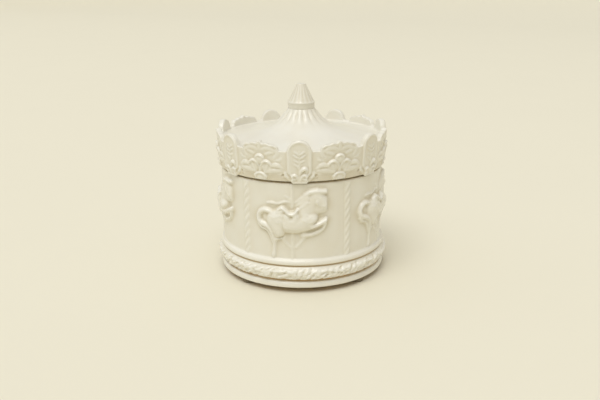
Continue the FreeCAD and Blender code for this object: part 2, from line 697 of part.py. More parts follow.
def crown_boss(along, up, radius, lift):
    """Round boss, a cap of a ball, that is rooted in the crown's outer face."""
    ball = (radius ** 2 + lift ** 2) / (2 * lift)
    azimuth = along / CROWN_TOP_RADIUS
    outward = Vector(math.sin(azimuth), -math.cos(azimuth), 0)
    centre = outward * (crown_radius(up) + lift - ball) + Vector(0, 0, LID_Z + up)
    root_latitude = math.degrees(math.asin((ball - lift - RELIEF_ROOT) / ball))
    return Part.makeSphere(ball, centre, outward, root_latitude, QUARTER_TURN, FULL_TURN)


def crown_leaf(start, end, half_width):
    """Prism of a pointed leaf between two places on the crown."""
    radius = CROWN_TOP_RADIUS
    tips = [Vector(radius * math.sin(along / radius), 0, LID_Z + up) for along, up in (start, end)]
    length = tips[0].distanceToPoint(tips[1])
    across = Vector(tips[0].z - tips[1].z, 0, tips[1].x - tips[0].x) * (half_width / length)
    middle = (tips[0] + tips[1]) * 0.5
    upper = arc(tips[0], middle + across, tips[1])
    lower = arc(tips[1], middle - across, tips[0])
    return crown_prism([upper, lower])


def both_sides(shape):
    """A shape of the crown's front and its mirror image."""
    return [shape, shape.mirror(ORIGIN, AXIS_X)]


def panel_ornament():
    """Flower, bead and leaves of one panel of the crown, at the front."""
    raised = [crown_boss(*place) for place in PANEL_BOSSES]
    for place in PAIRED_PANEL_BOSSES:
        raised += both_sides(crown_boss(*place))
    ring = crown_ring(-RELIEF_ROOT, CROWN_LEAF_RELIEF)
    for leaf in PANEL_LEAVES:
        raised += both_sides(ring.common(crown_leaf(*leaf)))
    return raised[0].fuse(raised[1:])


def medallion_ornament():
    """Bordered plate, scrolls and leaves of one medallion, at the front."""
    plate = crown_ring(-RELIEF_ROOT, MEDALLION_RELIEF).common(crown_prism(medallion_edges()))
    over_field = crown_ring(MEDALLION_FIELD_RELIEF, 2 * MEDALLION_RELIEF)
    plate = plate.cut(over_field.common(crown_prism(medallion_edges(MEDALLION_BORDER))))
    raised = []
    for place in PAIRED_MEDALLION_BOSSES:
        raised += both_sides(crown_boss(*place))
    ring = crown_ring(-RELIEF_ROOT, SPRIG_RELIEF)
    for leaf in MEDALLION_LEAVES:
        raised += both_sides(ring.common(crown_leaf(*leaf)))
    return plate.fuse(raised)


def make_lid():
    """Ceramic lid: crown with medallions and panels, tent roof, collar, finial and locating spigot."""
    roof, roof_start, roof_end = roof_edge(ROOF_RIM_RADIUS, 0.0)
    lining, lining_start, lining_end = roof_edge(LID_BORE_RADIUS, LID_WALL)
    outside = [
        section_point(SPIGOT_BORE_RADIUS, LID_Z - SPIGOT_DEPTH),
        section_point(SPIGOT_RADIUS, LID_Z - SPIGOT_DEPTH),
        section_point(SPIGOT_RADIUS, LID_Z),
        section_point(REVEAL_RADIUS, LID_Z),
        section_point(REVEAL_RADIUS, CROWN_Z),
        section_point(CROWN_FOOT_RADIUS, CROWN_Z),
        section_point(CROWN_TOP_RADIUS, CROWN_TOP_Z),
        section_point(CROWN_TOP_RADIUS - CROWN_WALL, CROWN_TOP_Z),
        roof_start,
    ]
    top = [
        roof_end,
        section_point(COLLAR_RADIUS, COLLAR_TOP_Z),
        section_point(FINIAL_TOP_RADIUS, FINIAL_TOP_Z),
        section_point(0, FINIAL_TOP_Z),
        section_point(0, lining_end.z),
        lining_end,
    ]
    inside = [
        lining_start,
        section_point(LID_BORE_RADIUS, CROWN_Z + 2 * LID_WALL),
        section_point(SPIGOT_BORE_RADIUS, CROWN_Z + LID_WALL),
        outside[0],
    ]
    edges = lines_through(outside) + [roof] + lines_through(top) + [lining] + lines_through(inside)
    body = turn_section(edges)
    ring = 2 * CROWN_TOP_RADIUS
    kept = cylinder(ring, LID_Z - 2 * SPIGOT_DEPTH, VALLEY_Z)
    steeple = cylinder(ROOF_RIM_RADIUS - CROWN_WALL, LID_Z, FINIAL_TOP_Z + 1)
    half_width = PANEL_WIDTH / 2
    shoulder_z = LID_Z + PANEL_SHOULDER_HEIGHT
    peak_z = LID_Z + PANEL_PEAK_HEIGHT
    foot_left = Vector(-half_width, 0, LID_Z)
    foot_right = Vector(half_width, 0, LID_Z)
    shoulder_left = Vector(-half_width, 0, shoulder_z)
    shoulder_right = Vector(half_width, 0, shoulder_z)
    panel_edges = lines_through([shoulder_right, foot_right, foot_left, shoulder_left])
    panel_edges.append(arc(shoulder_left, Vector(0, 0, peak_z), shoulder_right))
    panel_start = MEDALLION_AZIMUTH + FULL_TURN / PANEL_COUNT / 2
    panels = spread(crown_prism(panel_edges), PANEL_COUNT, panel_start)
    medallions = spread(crown_prism(medallion_edges()), PANEL_COUNT, MEDALLION_AZIMUTH)
    crown = body.common(kept.fuse([steeple] + panels + medallions))
    ornaments = spread(panel_ornament(), PANEL_COUNT, panel_start)
    ornaments += spread(medallion_ornament(), PANEL_COUNT, MEDALLION_AZIMUTH)
    for ornament in ornaments:
        crown = crown.fuse(ornament)
    return crown.removeSplitter()


def make_trinket_liner():
    """Felt disc on the drum's floor."""
    radius = DRUM_BORE_RADIUS - LINER_MARGIN
    return cylinder(radius, DRUM_FLOOR_TOP_Z, DRUM_FLOOR_TOP_Z + LINER_THICKNESS)


def make_turntable_disc():
    """Steel disc that carries the drum on the stud."""
    return tube(DISC_RADIUS, STUD_RADIUS + FIXED_GAP, DISC_Z, DISC_TOP_Z)


def make_turntable_pad():
    """Cork ring between the disc and the drum's floor."""
    return tube(DISC_RADIUS, STUD_RADIUS + RUNNING_GAP, DISC_TOP_Z, DRUM_FLOOR_Z)


def make_turntable_washer():
    """Washer under the nut."""
    low = nut_seat_height()
    return tube(WASHER_RADIUS, STUD_RADIUS + RUNNING_GAP, low, low + WASHER_THICKNESS)


def make_turntable_nut():
    """Hexagon nut that holds the drum down on the stud."""
    low = nut_seat_height() + WASHER_THICKNESS
    corner = NUT_WIDTH / 2 / math.cos(math.pi / NUT_SIDES)
    angles = [2 * math.pi * index / NUT_SIDES for index in range(NUT_SIDES)]
    points = [Vector(corner * math.cos(angle), corner * math.sin(angle), low) for angle in angles]
    face = Part.Face(Part.Wire(lines_through(points + points[:1])))
    solid = face.extrude(Vector(0, 0, NUT_HEIGHT))
    return solid.cut(cylinder(STUD_RADIUS + FIXED_GAP, low - 1, low + NUT_HEIGHT + 1))


def stud_height():
    """Height of the stud's lower end, in its blind bore in the crown wheel."""
    return COVER_TOP_Z + STUD_HUB_HEIGHT - STUD_BORE_DEPTH


def make_output_stud():
    """Steel stud from the crown wheel up through the turntable and the drum's floor."""
    top = nut_seat_height() + WASHER_THICKNESS + NUT_HEIGHT
    shank = cylinder(STUD_RADIUS, stud_height(), top)
    shoulder = cylinder(STUD_SHOULDER_RADIUS, DISC_Z - STUD_SHOULDER_HEIGHT, DISC_Z)
    return shank.fuse(shoulder).removeSplitter()


def make_crown_wheel():
    """Barrel cover with face teeth on its rim and a hub for the stud."""
    inner = BARREL_RADIUS - CROWN_TOOTH_LENGTH
    web = cylinder(BARREL_RADIUS, BARREL_TOP_Z, COVER_TOP_Z)
    register = cylinder(BARREL_BORE_RADIUS - FIXED_GAP, BARREL_TOP_Z - COVER_REGISTER, BARREL_TOP_Z)
    hub = cylinder(STUD_HUB_RADIUS, COVER_TOP_Z, COVER_TOP_Z + STUD_HUB_HEIGHT)
    pitch = math.pi * CROWN_WHEEL_MODULE
    rise = DEDENDUM_FACTOR * CROWN_WHEEL_MODULE
    tip_rise = ADDENDUM_FACTOR * CROWN_WHEEL_MODULE
    slant = math.tan(PRESSURE_ANGLE)
    half = pitch * CROWN_TOOTH_SHARE / 2
    root_half = half + rise * slant
    tip_half = half - tip_rise * slant
    tip_z = CROWN_PITCH_Z + tip_rise
    low_z = COVER_TOP_Z - BARREL_COVER / 2
    corners = [
        Vector(-root_half, 0, low_z),
        Vector(-root_half, 0, COVER_TOP_Z),
        Vector(-tip_half, 0, tip_z),
        Vector(tip_half, 0, tip_z),
        Vector(root_half, 0, COVER_TOP_Z),
        Vector(root_half, 0, low_z),
    ]
    tooth = radial_prism(lines_through(corners + corners[:1]), 0.0, inner, BARREL_RADIUS + 1)
    tooth = tooth.common(cylinder(BARREL_RADIUS, low_z, tip_z + 1))
    gap_start = QUARTER_TURN + FULL_TURN / CROWN_WHEEL_TEETH / 2
    body = web.fuse([register, hub] + spread(tooth, CROWN_WHEEL_TEETH, gap_start))
    low = BARREL_TOP_Z - COVER_REGISTER
    pivot_top = low + ARBOR_PIVOT_LENGTH + THRUST_GAP
    pivot = cylinder(ARBOR_PIVOT_RADIUS + RUNNING_GAP, low - 1, pivot_top)
    bore = cylinder(STUD_RADIUS + FIXED_GAP, stud_height(), COVER_TOP_Z + STUD_HUB_HEIGHT + 1)
    return body.cut([pivot, bore]).removeSplitter()


def make_spring_barrel():
    """Open drum that holds the mainspring."""
    floor_top = BARREL_Z + BARREL_WALL
    shell = cylinder(BARREL_RADIUS, BARREL_Z, BARREL_TOP_Z)
    hollow = cylinder(BARREL_BORE_RADIUS, floor_top, BARREL_TOP_Z + 1)
    bore = cylinder(ARBOR_RADIUS + RUNNING_GAP, BARREL_Z - 1, floor_top + 1)
    return shell.cut([hollow, bore])


def make_mainspring():
    """Flat spiral spring between the arbor's hub and the barrel's wall."""
    low = BARREL_Z + BARREL_WALL + SPRING_MARGIN
    high = BARREL_TOP_Z - COVER_REGISTER - SPRING_MARGIN
    start = ARBOR_HUB_RADIUS + SPRING_MARGIN
    end = BARREL_BORE_RADIUS - SPRING_MARGIN - SPRING_THICKNESS
    per_turn = SPRING_POINTS_PER_TURN
    count = per_turn * SPRING_TURNS

    def spiral(offset):
        points = []
        for index in range(count + 1):
            radius = start + (end - start) * index / count + offset
            angle = 2 * math.pi * index / per_turn
            points.append(Vector(radius * math.cos(angle), radius * math.sin(angle), low))
        return points

    inner = spiral(0.0)
    outer = spiral(SPRING_THICKNESS)
    edges = [smooth(inner), line(inner[-1], outer[-1]), smooth(outer), line(outer[0], inner[0])]
    wire = Part.Wire(Part.__sortEdges__(edges))
    return Part.Face(wire).extrude(Vector(0, 0, high - low))


def make_winding_arbor():
    """Stepped shaft from the key up into the barrel."""
    key_top = RECESS_Z - KEY_TOP_GAP
    hub_low = BARREL_Z + BARREL_WALL + THRUST_GAP
    hub_high = BARREL_TOP_Z - COVER_REGISTER - THRUST_GAP
    pivot_top = BARREL_TOP_Z - COVER_REGISTER + ARBOR_PIVOT_LENGTH
    shaft = cylinder(ARBOR_RADIUS, key_top - KEY_SOCKET_DEPTH, hub_low)
    hub = cylinder(ARBOR_HUB_RADIUS, hub_low, hub_high)
    pivot = cylinder(ARBOR_PIVOT_RADIUS, hub_high, pivot_top)
    return shaft.fuse([hub, pivot]).removeSplitter()


def make_arbor_bush():
    """Bearing bush of the arbor, pressed into the bedplate."""
    return tube(BUSH_RADIUS, ARBOR_RADIUS + RUNNING_GAP, PLATE_Z - BUSH_DROP, BUSH_TOP_Z)


def make_ratchet_wheel():
    """Saw-toothed wheel on the arbor that the click holds."""
    step = 2 * math.pi / RATCHET_TEETH
    points = []
    for index in range(RATCHET_TEETH):
        for radius in (RATCHET_RADIUS - RATCHET_DEPTH, RATCHET_RADIUS):
            angle = index * step
            points.append(Vector(radius * math.cos(angle), radius * math.sin(angle), RATCHET_Z))
    face = Part.Face(Part.Wire(lines_through(points + points[:1])))
    wheel = face.extrude(Vector(0, 0, RATCHET_THICKNESS))
    return wheel.cut(cylinder(ARBOR_RADIUS + FIXED_GAP, RATCHET_Z - 1, RATCHET_TOP_Z + 1))


def click_place():
    """Point of the click's screw before it is turned to its azimuth."""
    return CLICK_LENGTH, RATCHET_RADIUS + CLICK_GAP + CLICK_THICKNESS / 2


def make_click_spring():
    """Leaf that lies along the ratchet's rim, with an eye for its screw."""
    x, y = click_place()
    low = RATCHET_RADIUS + CLICK_GAP
    leaf = block((0, x), (low, low + CLICK_THICKNESS), (RATCHET_Z, RATCHET_TOP_Z))
    eye = cylinder(CLICK_EYE_RADIUS, PLATE_TOP_Z, RATCHET_TOP_Z, x, y)
    hole = cylinder(CLICK_SCREW_RADIUS + FIXED_GAP, PLATE_Z, RATCHET_TOP_Z + 1, x, y)
    return turned(leaf.fuse(eye).cut(hole), CLICK_AZIMUTH)


def make_click_screw():
    """Rivet-like screw that holds the click on the bedplate."""
    x, y = click_place()
    shank = cylinder(CLICK_SCREW_RADIUS, PLATE_Z + THRUST_GAP, RATCHET_TOP_Z, x, y)
    head = cylinder(CLICK_EYE_RADIUS, RATCHET_TOP_Z, RATCHET_TOP_Z + CLICK_HEAD_HEIGHT, x, y)
    return turned(shank.fuse(head).removeSplitter(), CLICK_AZIMUTH)


def make_winding_key():
    """Butterfly key under the base: a hub with two rounded wings."""
    low = KEY_FLOOR_GAP
    top = RECESS_Z - KEY_TOP_GAP
    wing_top = low + KEY_WING_HEIGHT
    radius = KEY_WING_HEIGHT / 2
    reach = KEY_WING_SPAN / 2 - radius
    half = KEY_WING_THICKNESS / 2
    middle = low + radius
    web = block((-reach, reach), (-half, half), (low, wing_top))
    ends = []
    eyes = []
    for x in (-reach, reach):
        ends.append(Part.makeCylinder(radius, 2 * half, Vector(x, -half, middle), AXIS_Y))
        eyes.append(Part.makeCylinder(KEY_EYE_RADIUS, 4 * half, Vector(x, -2 * half, middle), AXIS_Y))
    hub = cylinder(KEY_HUB_RADIUS, low + radius / 2, top)
    socket = cylinder(ARBOR_RADIUS + FIXED_GAP, top - KEY_SOCKET_DEPTH, top + 1)
    return web.fuse(ends).cut(eyes).fuse(hub).cut(socket).removeSplitter()


def plate_outline():
    """Corners of the bedplate, round everything that stands on it."""
    left = min(x for x, y in MOUNT_SCREW_PLACES) - MOUNT_BOSS_RADIUS - PLATE_MARGIN
    side = max(y for x, y in MOUNT_SCREW_PLACES) + MOUNT_BOSS_RADIUS
    back = COMB_END_Y + PLATE_MARGIN
    right = GOVERNOR_END_X + PLATE_MARGIN / 2
    front = GOVERNOR_BACK_Y - PLATE_MARGIN / 2
    chamfer = 2 * PLATE_MARGIN
    return [
        (left + chamfer, -side),
        (CYLINDER_X, front),
        (right - chamfer, front),
        (right, front + chamfer),
        (right, side),
        (CYLINDER_END_X, back),
        (CYLINDER_X - chamfer, back),
        (left + chamfer, side),
        (left, side - chamfer),
        (left, chamfer - side),
    ]


def screw_hole(x, y):
    """Threaded hole in the bedplate for a small screw, from above."""
    low = PLATE_TOP_Z - SCREW_DEPTH - THRUST_GAP
    return cylinder(SCREW_RADIUS + FIXED_GAP, low, PLATE_TOP_Z + 1, x, y)


def bracket_screw_places():
    """Points of the two screws in the brackets' feet."""
    inner = INNER_BRACKET_X + BRACKET_THICKNESS + BRACKET_FOOT_LENGTH / 2
    outer = OUTER_BRACKET_X - BRACKET_FOOT_LENGTH / 2
    return [(inner, 0.0), (outer, 0.0)]


def governor_screw_place():
    """Point of the screw in the governor's tab."""
    return GOVERNOR_X - GOVERNOR_TAB / 2, WORM_Y


def make_bedplate():
    """Cast bedplate of the movement with bosses for the mounting screws."""
    points = [Vector(x, y, PLATE_Z) for x, y in plate_outline()]
    outline = Part.Wire(lines_through(points + points[:1]))
    plate = Part.Face(outline).extrude(Vector(0, 0, PLATE_THICKNESS))
    boss_top = PLATE_TOP_Z + MOUNT_BOSS_HEIGHT
    bosses = [cylinder(MOUNT_BOSS_RADIUS, PLATE_Z, boss_top, x, y) for x, y in MOUNT_SCREW_PLACES]
    radius = MOUNT_SCREW_RADIUS + FIXED_GAP
    holes = [cylinder(radius, PLATE_Z - 1, boss_top + 1, x, y) for x, y in MOUNT_SCREW_PLACES]
    holes += [screw_hole(x, y) for x, y in bracket_screw_places() + [governor_screw_place()]]
    holes.append(cylinder(BUSH_RADIUS + FIXED_GAP, PLATE_Z - 1, PLATE_TOP_Z + 1))
    x, y = click_place()
    click_hole = cylinder(CLICK_SCREW_RADIUS + FIXED_GAP, PLATE_Z, PLATE_TOP_Z + 1, x, y)
    holes.append(turned(click_hole, CLICK_AZIMUTH))
    return plate.fuse(bosses).cut(holes).removeSplitter()


def make_mounting_screws():
    """Screws from below that hold the bedplate to the base's floor."""
    length = BASE_FLOOR + PLATE_THICKNESS + MOUNT_BOSS_HEIGHT - MOUNT_TAIL
    screw = slotted_screw(MOUNT_SCREW_RADIUS, MOUNT_HEAD_RADIUS, MOUNT_HEAD_HEIGHT, length)
    screw = turned(screw, 2 * QUARTER_TURN, AXIS_X)
    return Part.makeCompound([placed(screw, x, y, RECESS_Z) for x, y in MOUNT_SCREW_PLACES])


def make_music_cylinder():
    """Brass cylinder with its pins."""
    body = cross_cylinder(CYLINDER_RADIUS, CYLINDER_X, CYLINDER_END_X, 0, TRAIN_Z)
    step = CYLINDER_LENGTH / NOTE_COUNT
    low = TRAIN_Z + CYLINDER_RADIUS - PIN_ROOT
    pins = []
    for track in range(NOTE_COUNT):
        x = CYLINDER_X + (track + 0.5) * step
        for index in range(PINS_PER_TRACK):
            angle = track * PIN_TRACK_STEP + index * PIN_SCATTER
            pin = cylinder(PIN_RADIUS, low, low + PIN_ROOT + PIN_HEIGHT, x, 0)
            pins.append(turned(pin, angle, AXIS_X, Vector(x, 0, TRAIN_Z)))
    bore = CYLINDER_ARBOR_RADIUS + FIXED_GAP
    return body.fuse(pins).cut(cross_cylinder(bore, CYLINDER_X - 1, CYLINDER_END_X + 1, 0, TRAIN_Z))


def make_cylinder_arbor():
    """Shaft of the cylinder, from its pinion to the outer bracket."""
    return cross_cylinder(CYLINDER_ARBOR_RADIUS, PINION_X, OUTER_BRACKET_END_X, 0, TRAIN_Z)


def make_cylinder_pinion():
    """Pinion that the crown wheel's face teeth drive, with a tooth straight down."""
    bore = CYLINDER_ARBOR_RADIUS + FIXED_GAP
    pinion = gear(CYLINDER_PINION_TEETH, CROWN_WHEEL_MODULE, CYLINDER_PINION_LENGTH, bore)
    return placed(pinion, PINION_X, 0, TRAIN_Z)


def make_cylinder_gear():
    """Large gear at the cylinder's far end, with a tooth towards the governor."""
    bore = CYLINDER_ARBOR_RADIUS + FIXED_GAP
    wheel = gear(CYLINDER_GEAR_TEETH, CYLINDER_GEAR_MODULE, CYLINDER_GEAR_THICKNESS, bore, -QUARTER_TURN)
    return placed(wheel, CYLINDER_GEAR_X, 0, TRAIN_Z)


def bracket(x, foot_x, arm):
    """Upright plate with an eye for the cylinder's arbor, a foot and, if asked, the governor's arm."""
    end = x + BRACKET_THICKNESS
    half = BRACKET_WIDTH / 2
    plate = block((x, end), (-half, half), (PLATE_TOP_Z, TRAIN_Z))
    eye = cross_cylinder(BRACKET_EYE_RADIUS, x, end, 0, TRAIN_Z)
    foot_top = PLATE_TOP_Z + BRACKET_FOOT_THICKNESS
    foot = block(foot_x, (-half, half), (PLATE_TOP_Z, foot_top))
    solids = [eye, foot]
    bores = [cross_cylinder(CYLINDER_ARBOR_RADIUS + RUNNING_GAP, x - 1, end + 1, 0, TRAIN_Z)]
    if arm:
        heights = (TRAIN_Z - BRACKET_ARM_RADIUS, TRAIN_Z + BRACKET_ARM_RADIUS)
        solids.append(block((x, end), (GOVERNOR_ARBOR_Y, 0), heights))
        solids.append(cross_cylinder(BRACKET_ARM_RADIUS, x, end, GOVERNOR_ARBOR_Y, TRAIN_Z))
        bore = GOVERNOR_ARBOR_RADIUS + RUNNING_GAP
        bores.append(cross_cylinder(bore, x - 1, end + 1, GOVERNOR_ARBOR_Y, TRAIN_Z))
    middle = (foot_x[0] + foot_x[1]) / 2
    bores.append(cylinder(SCREW_RADIUS + SCREW_CLEARANCE, PLATE_Z, foot_top + 1, middle, 0))
    return plate.fuse(solids).cut(bores).removeSplitter()


def make_inner_bracket():
    """Bracket beside the barrel."""
    end = INNER_BRACKET_X + BRACKET_THICKNESS
    return bracket(INNER_BRACKET_X, (end, end + BRACKET_FOOT_LENGTH), False)


def make_outer_bracket():
    """Bracket beyond the cylinder's gear, which also carries the governor's arbor."""
    start = OUTER_BRACKET_X
    return bracket(start, (start - BRACKET_FOOT_LENGTH, start), True)


def make_bracket_screws():
    """Screws of the two brackets' feet."""
    screw = small_screw(BRACKET_FOOT_THICKNESS)
    height = PLATE_TOP_Z + BRACKET_FOOT_THICKNESS
    return Part.makeCompound([placed(screw, x, y, height) for x, y in bracket_screw_places()])


def comb_screw_places():
    """Points of the comb's two screws."""
    middle = CYLINDER_X + CYLINDER_LENGTH / 2
    y = COMB_END_Y - COMB_SCREW_INSET
    return [(middle - COMB_SCREW_SPACING / 2, y), (middle + COMB_SCREW_SPACING / 2, y)]


def make_comb():
    """Steel comb: one tooth per note, longest at the inner end."""
    step = CYLINDER_LENGTH / NOTE_COUNT
    bass_y = COMB_TIP_Y + COMB_BASS_LENGTH
    treble_y = COMB_TIP_Y + COMB_TREBLE_LENGTH
    corners = [
        Vector(CYLINDER_X, bass_y, COMB_Z),
        Vector(CYLINDER_END_X, treble_y, COMB_Z),
        Vector(CYLINDER_END_X, COMB_END_Y, COMB_Z),
        Vector(CYLINDER_X, COMB_END_Y, COMB_Z),
    ]
    outline = Part.Wire(lines_through(corners + corners[:1]))
    body = Part.Face(outline).extrude(Vector(0, 0, COMB_THICKNESS))
    half = step * COMB_TOOTH_SHARE / 2
    tooth_top = COMB_Z + COMB_TOOTH_THICKNESS
    teeth = []
    for note in range(NOTE_COUNT):
        x = CYLINDER_X + (note + 0.5) * step
        root = bass_y + (treble_y - bass_y) * note / NOTE_COUNT + step
        teeth.append(block((x - half, x + half), (COMB_TIP_Y, root), (COMB_Z, tooth_top)))
    radius = SCREW_RADIUS + SCREW_CLEARANCE
    holes = [cylinder(radius, COMB_Z - 1, COMB_Z + 2 * COMB_THICKNESS, x, y) for x, y in comb_screw_places()]
    return body.fuse(teeth).cut(holes).removeSplitter()


def make_comb_riser():
    """Block that lifts the comb to the cylinder's axis."""
    body = block((CYLINDER_X, CYLINDER_END_X), (RISER_Y, COMB_END_Y), (PLATE_TOP_Z, COMB_Z))
    radius = SCREW_RADIUS + FIXED_GAP
    depth = SCREW_DEPTH + THRUST_GAP
    return body.cut([cylinder(radius, COMB_Z - depth, COMB_Z + 1, x, y) for x, y in comb_screw_places()])


def make_comb_screws():
    """Screws of the comb."""
    screw = small_screw(COMB_THICKNESS)
    height = COMB_Z + COMB_THICKNESS
    return Part.makeCompound([placed(screw, x, y, height) for x, y in comb_screw_places()])


def make_governor_frame():
    """Bent-sheet frame of the governor: foot with tab, back, top arm and side arm."""
    across = (GOVERNOR_X, GOVERNOR_END_X)
    back = (GOVERNOR_BACK_Y, GOVERNOR_BACK_Y + SHEET_THICKNESS)
    top = (GOVERNOR_TOP_Z, GOVERNOR_TOP_Z + SHEET_THICKNESS)
    margin = 2 * SHEET_THICKNESS
    foot_z = (PLATE_TOP_Z, GOVERNOR_FOOT_TOP_Z)
    foot = block((GOVERNOR_X - GOVERNOR_TAB, GOVERNOR_END_X), (GOVERNOR_BACK_Y, WORM_Y + margin), foot_z)
    wall = block(across, back, (PLATE_TOP_Z, top[1]))
    top_arm = block(across, (GOVERNOR_BACK_Y, WORM_Y + margin), top)
    half = GOVERNOR_ARM_HEIGHT / 2
    arm_y = (GOVERNOR_BACK_Y, GOVERNOR_ARBOR_Y + half)
    side_arm = block((GOVERNOR_ARM_X, GOVERNOR_END_X), arm_y, (TRAIN_Z - half, TRAIN_Z + half))
    x, y = governor_screw_place()
    arbor_bore = GOVERNOR_ARBOR_RADIUS + RUNNING_GAP
    holes = [
        cylinder(WORM_SHAFT_RADIUS + RUNNING_GAP, PLATE_Z, top[1] + 1, WORM_X, WORM_Y),
        cross_cylinder(arbor_bore, GOVERNOR_ARM_X - 1, GOVERNOR_END_X + 1, GOVERNOR_ARBOR_Y, TRAIN_Z),
        cylinder(SCREW_RADIUS + SCREW_CLEARANCE, PLATE_Z, GOVERNOR_FOOT_TOP_Z + 1, x, y),
    ]
    return foot.fuse([wall, top_arm, side_arm]).cut(holes).removeSplitter()


def make_governor_screw():
    """Screw of the governor's tab."""
    screw = small_screw(GOVERNOR_FOOT_THICKNESS)
    return placed(screw, *governor_screw_place(), GOVERNOR_FOOT_TOP_Z)


def make_governor_arbor():
    """Cross shaft with the governor's pinion and worm wheel."""
    start = CYLINDER_GEAR_X - THRUST_GAP
    return cross_cylinder(GOVERNOR_ARBOR_RADIUS, start, GOVERNOR_END_X, GOVERNOR_ARBOR_Y, TRAIN_Z)


def make_governor_pinion():
    """Pinion in mesh with the cylinder's gear, with a gap towards it."""
    bore = GOVERNOR_ARBOR_RADIUS + FIXED_GAP
    phase = QUARTER_TURN + FULL_TURN / GOVERNOR_PINION_TEETH / 2
    pinion = gear(GOVERNOR_PINION_TEETH, CYLINDER_GEAR_MODULE, GOVERNOR_PINION_LENGTH, bore, phase)
    return placed(pinion, CYLINDER_GEAR_X - THRUST_GAP, GOVERNOR_ARBOR_Y, TRAIN_Z)


def make_worm_wheel():
    """Wheel in mesh with the worm, with a tooth towards it."""
    bore = GOVERNOR_ARBOR_RADIUS + FIXED_GAP
    wheel = gear(WORM_WHEEL_TEETH, WORM_MODULE, WORM_WHEEL_THICKNESS, bore, -QUARTER_TURN)
    return placed(wheel, WORM_WHEEL_X, GOVERNOR_ARBOR_Y, TRAIN_Z)


def make_worm_shaft():
    """Upright shaft with a single right-hand worm thread, whose gap faces the wheel."""
    pitch = math.pi * WORM_MODULE
    add = ADDENDUM_FACTOR * WORM_MODULE
    slant = math.tan(PRESSURE_ANGLE)
    half = pitch * WORM_THREAD_SHARE / 2
    depth = WORM_PITCH_RADIUS - WORM_CORE_RADIUS + RUNNING_GAP
    turns = math.floor(WORM_LENGTH / pitch) - 1
    start = TRAIN_Z + pitch / 4 - pitch * math.floor(turns / 2 + 1)
    helix = Part.makeHelix(pitch, turns * pitch, WORM_PITCH_RADIUS)
    corners = [
        Vector(WORM_PITCH_RADIUS - depth, 0, -half - depth * slant),
        Vector(WORM_PITCH_RADIUS + add, 0, -half + add * slant),
        Vector(WORM_PITCH_RADIUS + add, 0, half - add * slant),
        Vector(WORM_PITCH_RADIUS - depth, 0, half + depth * slant),
    ]
    profile = Part.Wire(lines_through(corners + corners[:1]))
    thread = Part.Wire(helix.Edges).makePipeShell([profile], True, True)
    thread = placed(thread, WORM_X, WORM_Y, start)
    core = cylinder(WORM_CORE_RADIUS, WORM_Z, WORM_TOP_Z, WORM_X, WORM_Y)
    low = PLATE_TOP_Z + THRUST_GAP
    high = GOVERNOR_TOP_Z + SHEET_THICKNESS
    shaft = cylinder(WORM_SHAFT_RADIUS, low, high, WORM_X, WORM_Y)
    return shaft.fuse([core, thread]).removeSplitter()


def make_air_brake():
    """Two-vaned fan on the worm's shaft."""
    top = FAN_Z + FAN_HEIGHT
    hub = cylinder(FAN_HUB_RADIUS, FAN_Z, top, WORM_X, WORM_Y)
    half = FAN_THICKNESS / 2
    vanes = block((WORM_X - FAN_RADIUS, WORM_X + FAN_RADIUS), (WORM_Y - half, WORM_Y + half), (FAN_Z, top))
    bore = cylinder(WORM_SHAFT_RADIUS + FIXED_GAP, FAN_Z - 1, top + 1, WORM_X, WORM_Y)
    return hub.fuse(vanes).cut(bore).removeSplitter()


PIECES = {
    "base": make_base,
    "foot_pads": make_foot_pads,
    "drum": make_drum,
    "lid": make_lid,
    "trinket_liner": make_trinket_liner,
    "turntable_disc": make_turntable_disc,
    "turntable_pad": make_turntable_pad,
    "turntable_washer": make_turntable_washer,
    "turntable_nut": make_turntable_nut,
    "output_stud": make_output_stud,
    "crown_wheel": make_crown_wheel,
    "spring_barrel": make_spring_barrel,
    "mainspring": make_mainspring,
    "winding_arbor": make_winding_arbor,
    "arbor_bush": make_arbor_bush,
    "ratchet_wheel": make_ratchet_wheel,
    "click_spring": make_click_spring,
    "click_screw": make_click_screw,
    "winding_key": make_winding_key,
    "bedplate": make_bedplate,
    "mounting_screws": make_mounting_screws,
    "music_cylinder": make_music_cylinder,
    "cylinder_arbor": make_cylinder_arbor,
    "cylinder_pinion": make_cylinder_pinion,
    "cylinder_gear": make_cylinder_gear,
    "inner_bracket": make_inner_bracket,
    "outer_bracket": make_outer_bracket,
    "bracket_screws": make_bracket_screws,
    "comb": make_comb,
    "comb_riser": make_comb_riser,
    "comb_screws": make_comb_screws,
    "governor_frame": make_governor_frame,
    "governor_screw": make_governor_screw,
    "governor_arbor": make_governor_arbor,
    "governor_pinion": make_governor_pinion,
    "worm_wheel": make_worm_wheel,
    "worm_shaft": make_worm_shaft,
    "air_brake": make_air_brake,
}


def main():
    """Make every piece and write it as its own file."""
    os.makedirs("parts", exist_ok=True)
    for name, make in PIECES.items():
        shape = make()
        shape.exportStep(os.path.join("parts", name + ".step"))
        print(name, len(shape.Solids), shape.isValid(), round(shape.Volume, 1))


main()
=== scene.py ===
"""Looks of the wind-up carousel music box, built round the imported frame.

Modelling lengths are millimetres. Azimuths are degrees round the Z axis, from the front (-Y)
towards +X. A place on a wall is given as (along, up): along it to the right, then upwards.
"""
import json
import logging
import math
from dataclasses import dataclass, field
from enum import Enum
from typing import Any, Iterable, Sequence, Union

import bpy
import numpy as np
from mathutils import Matrix, Vector


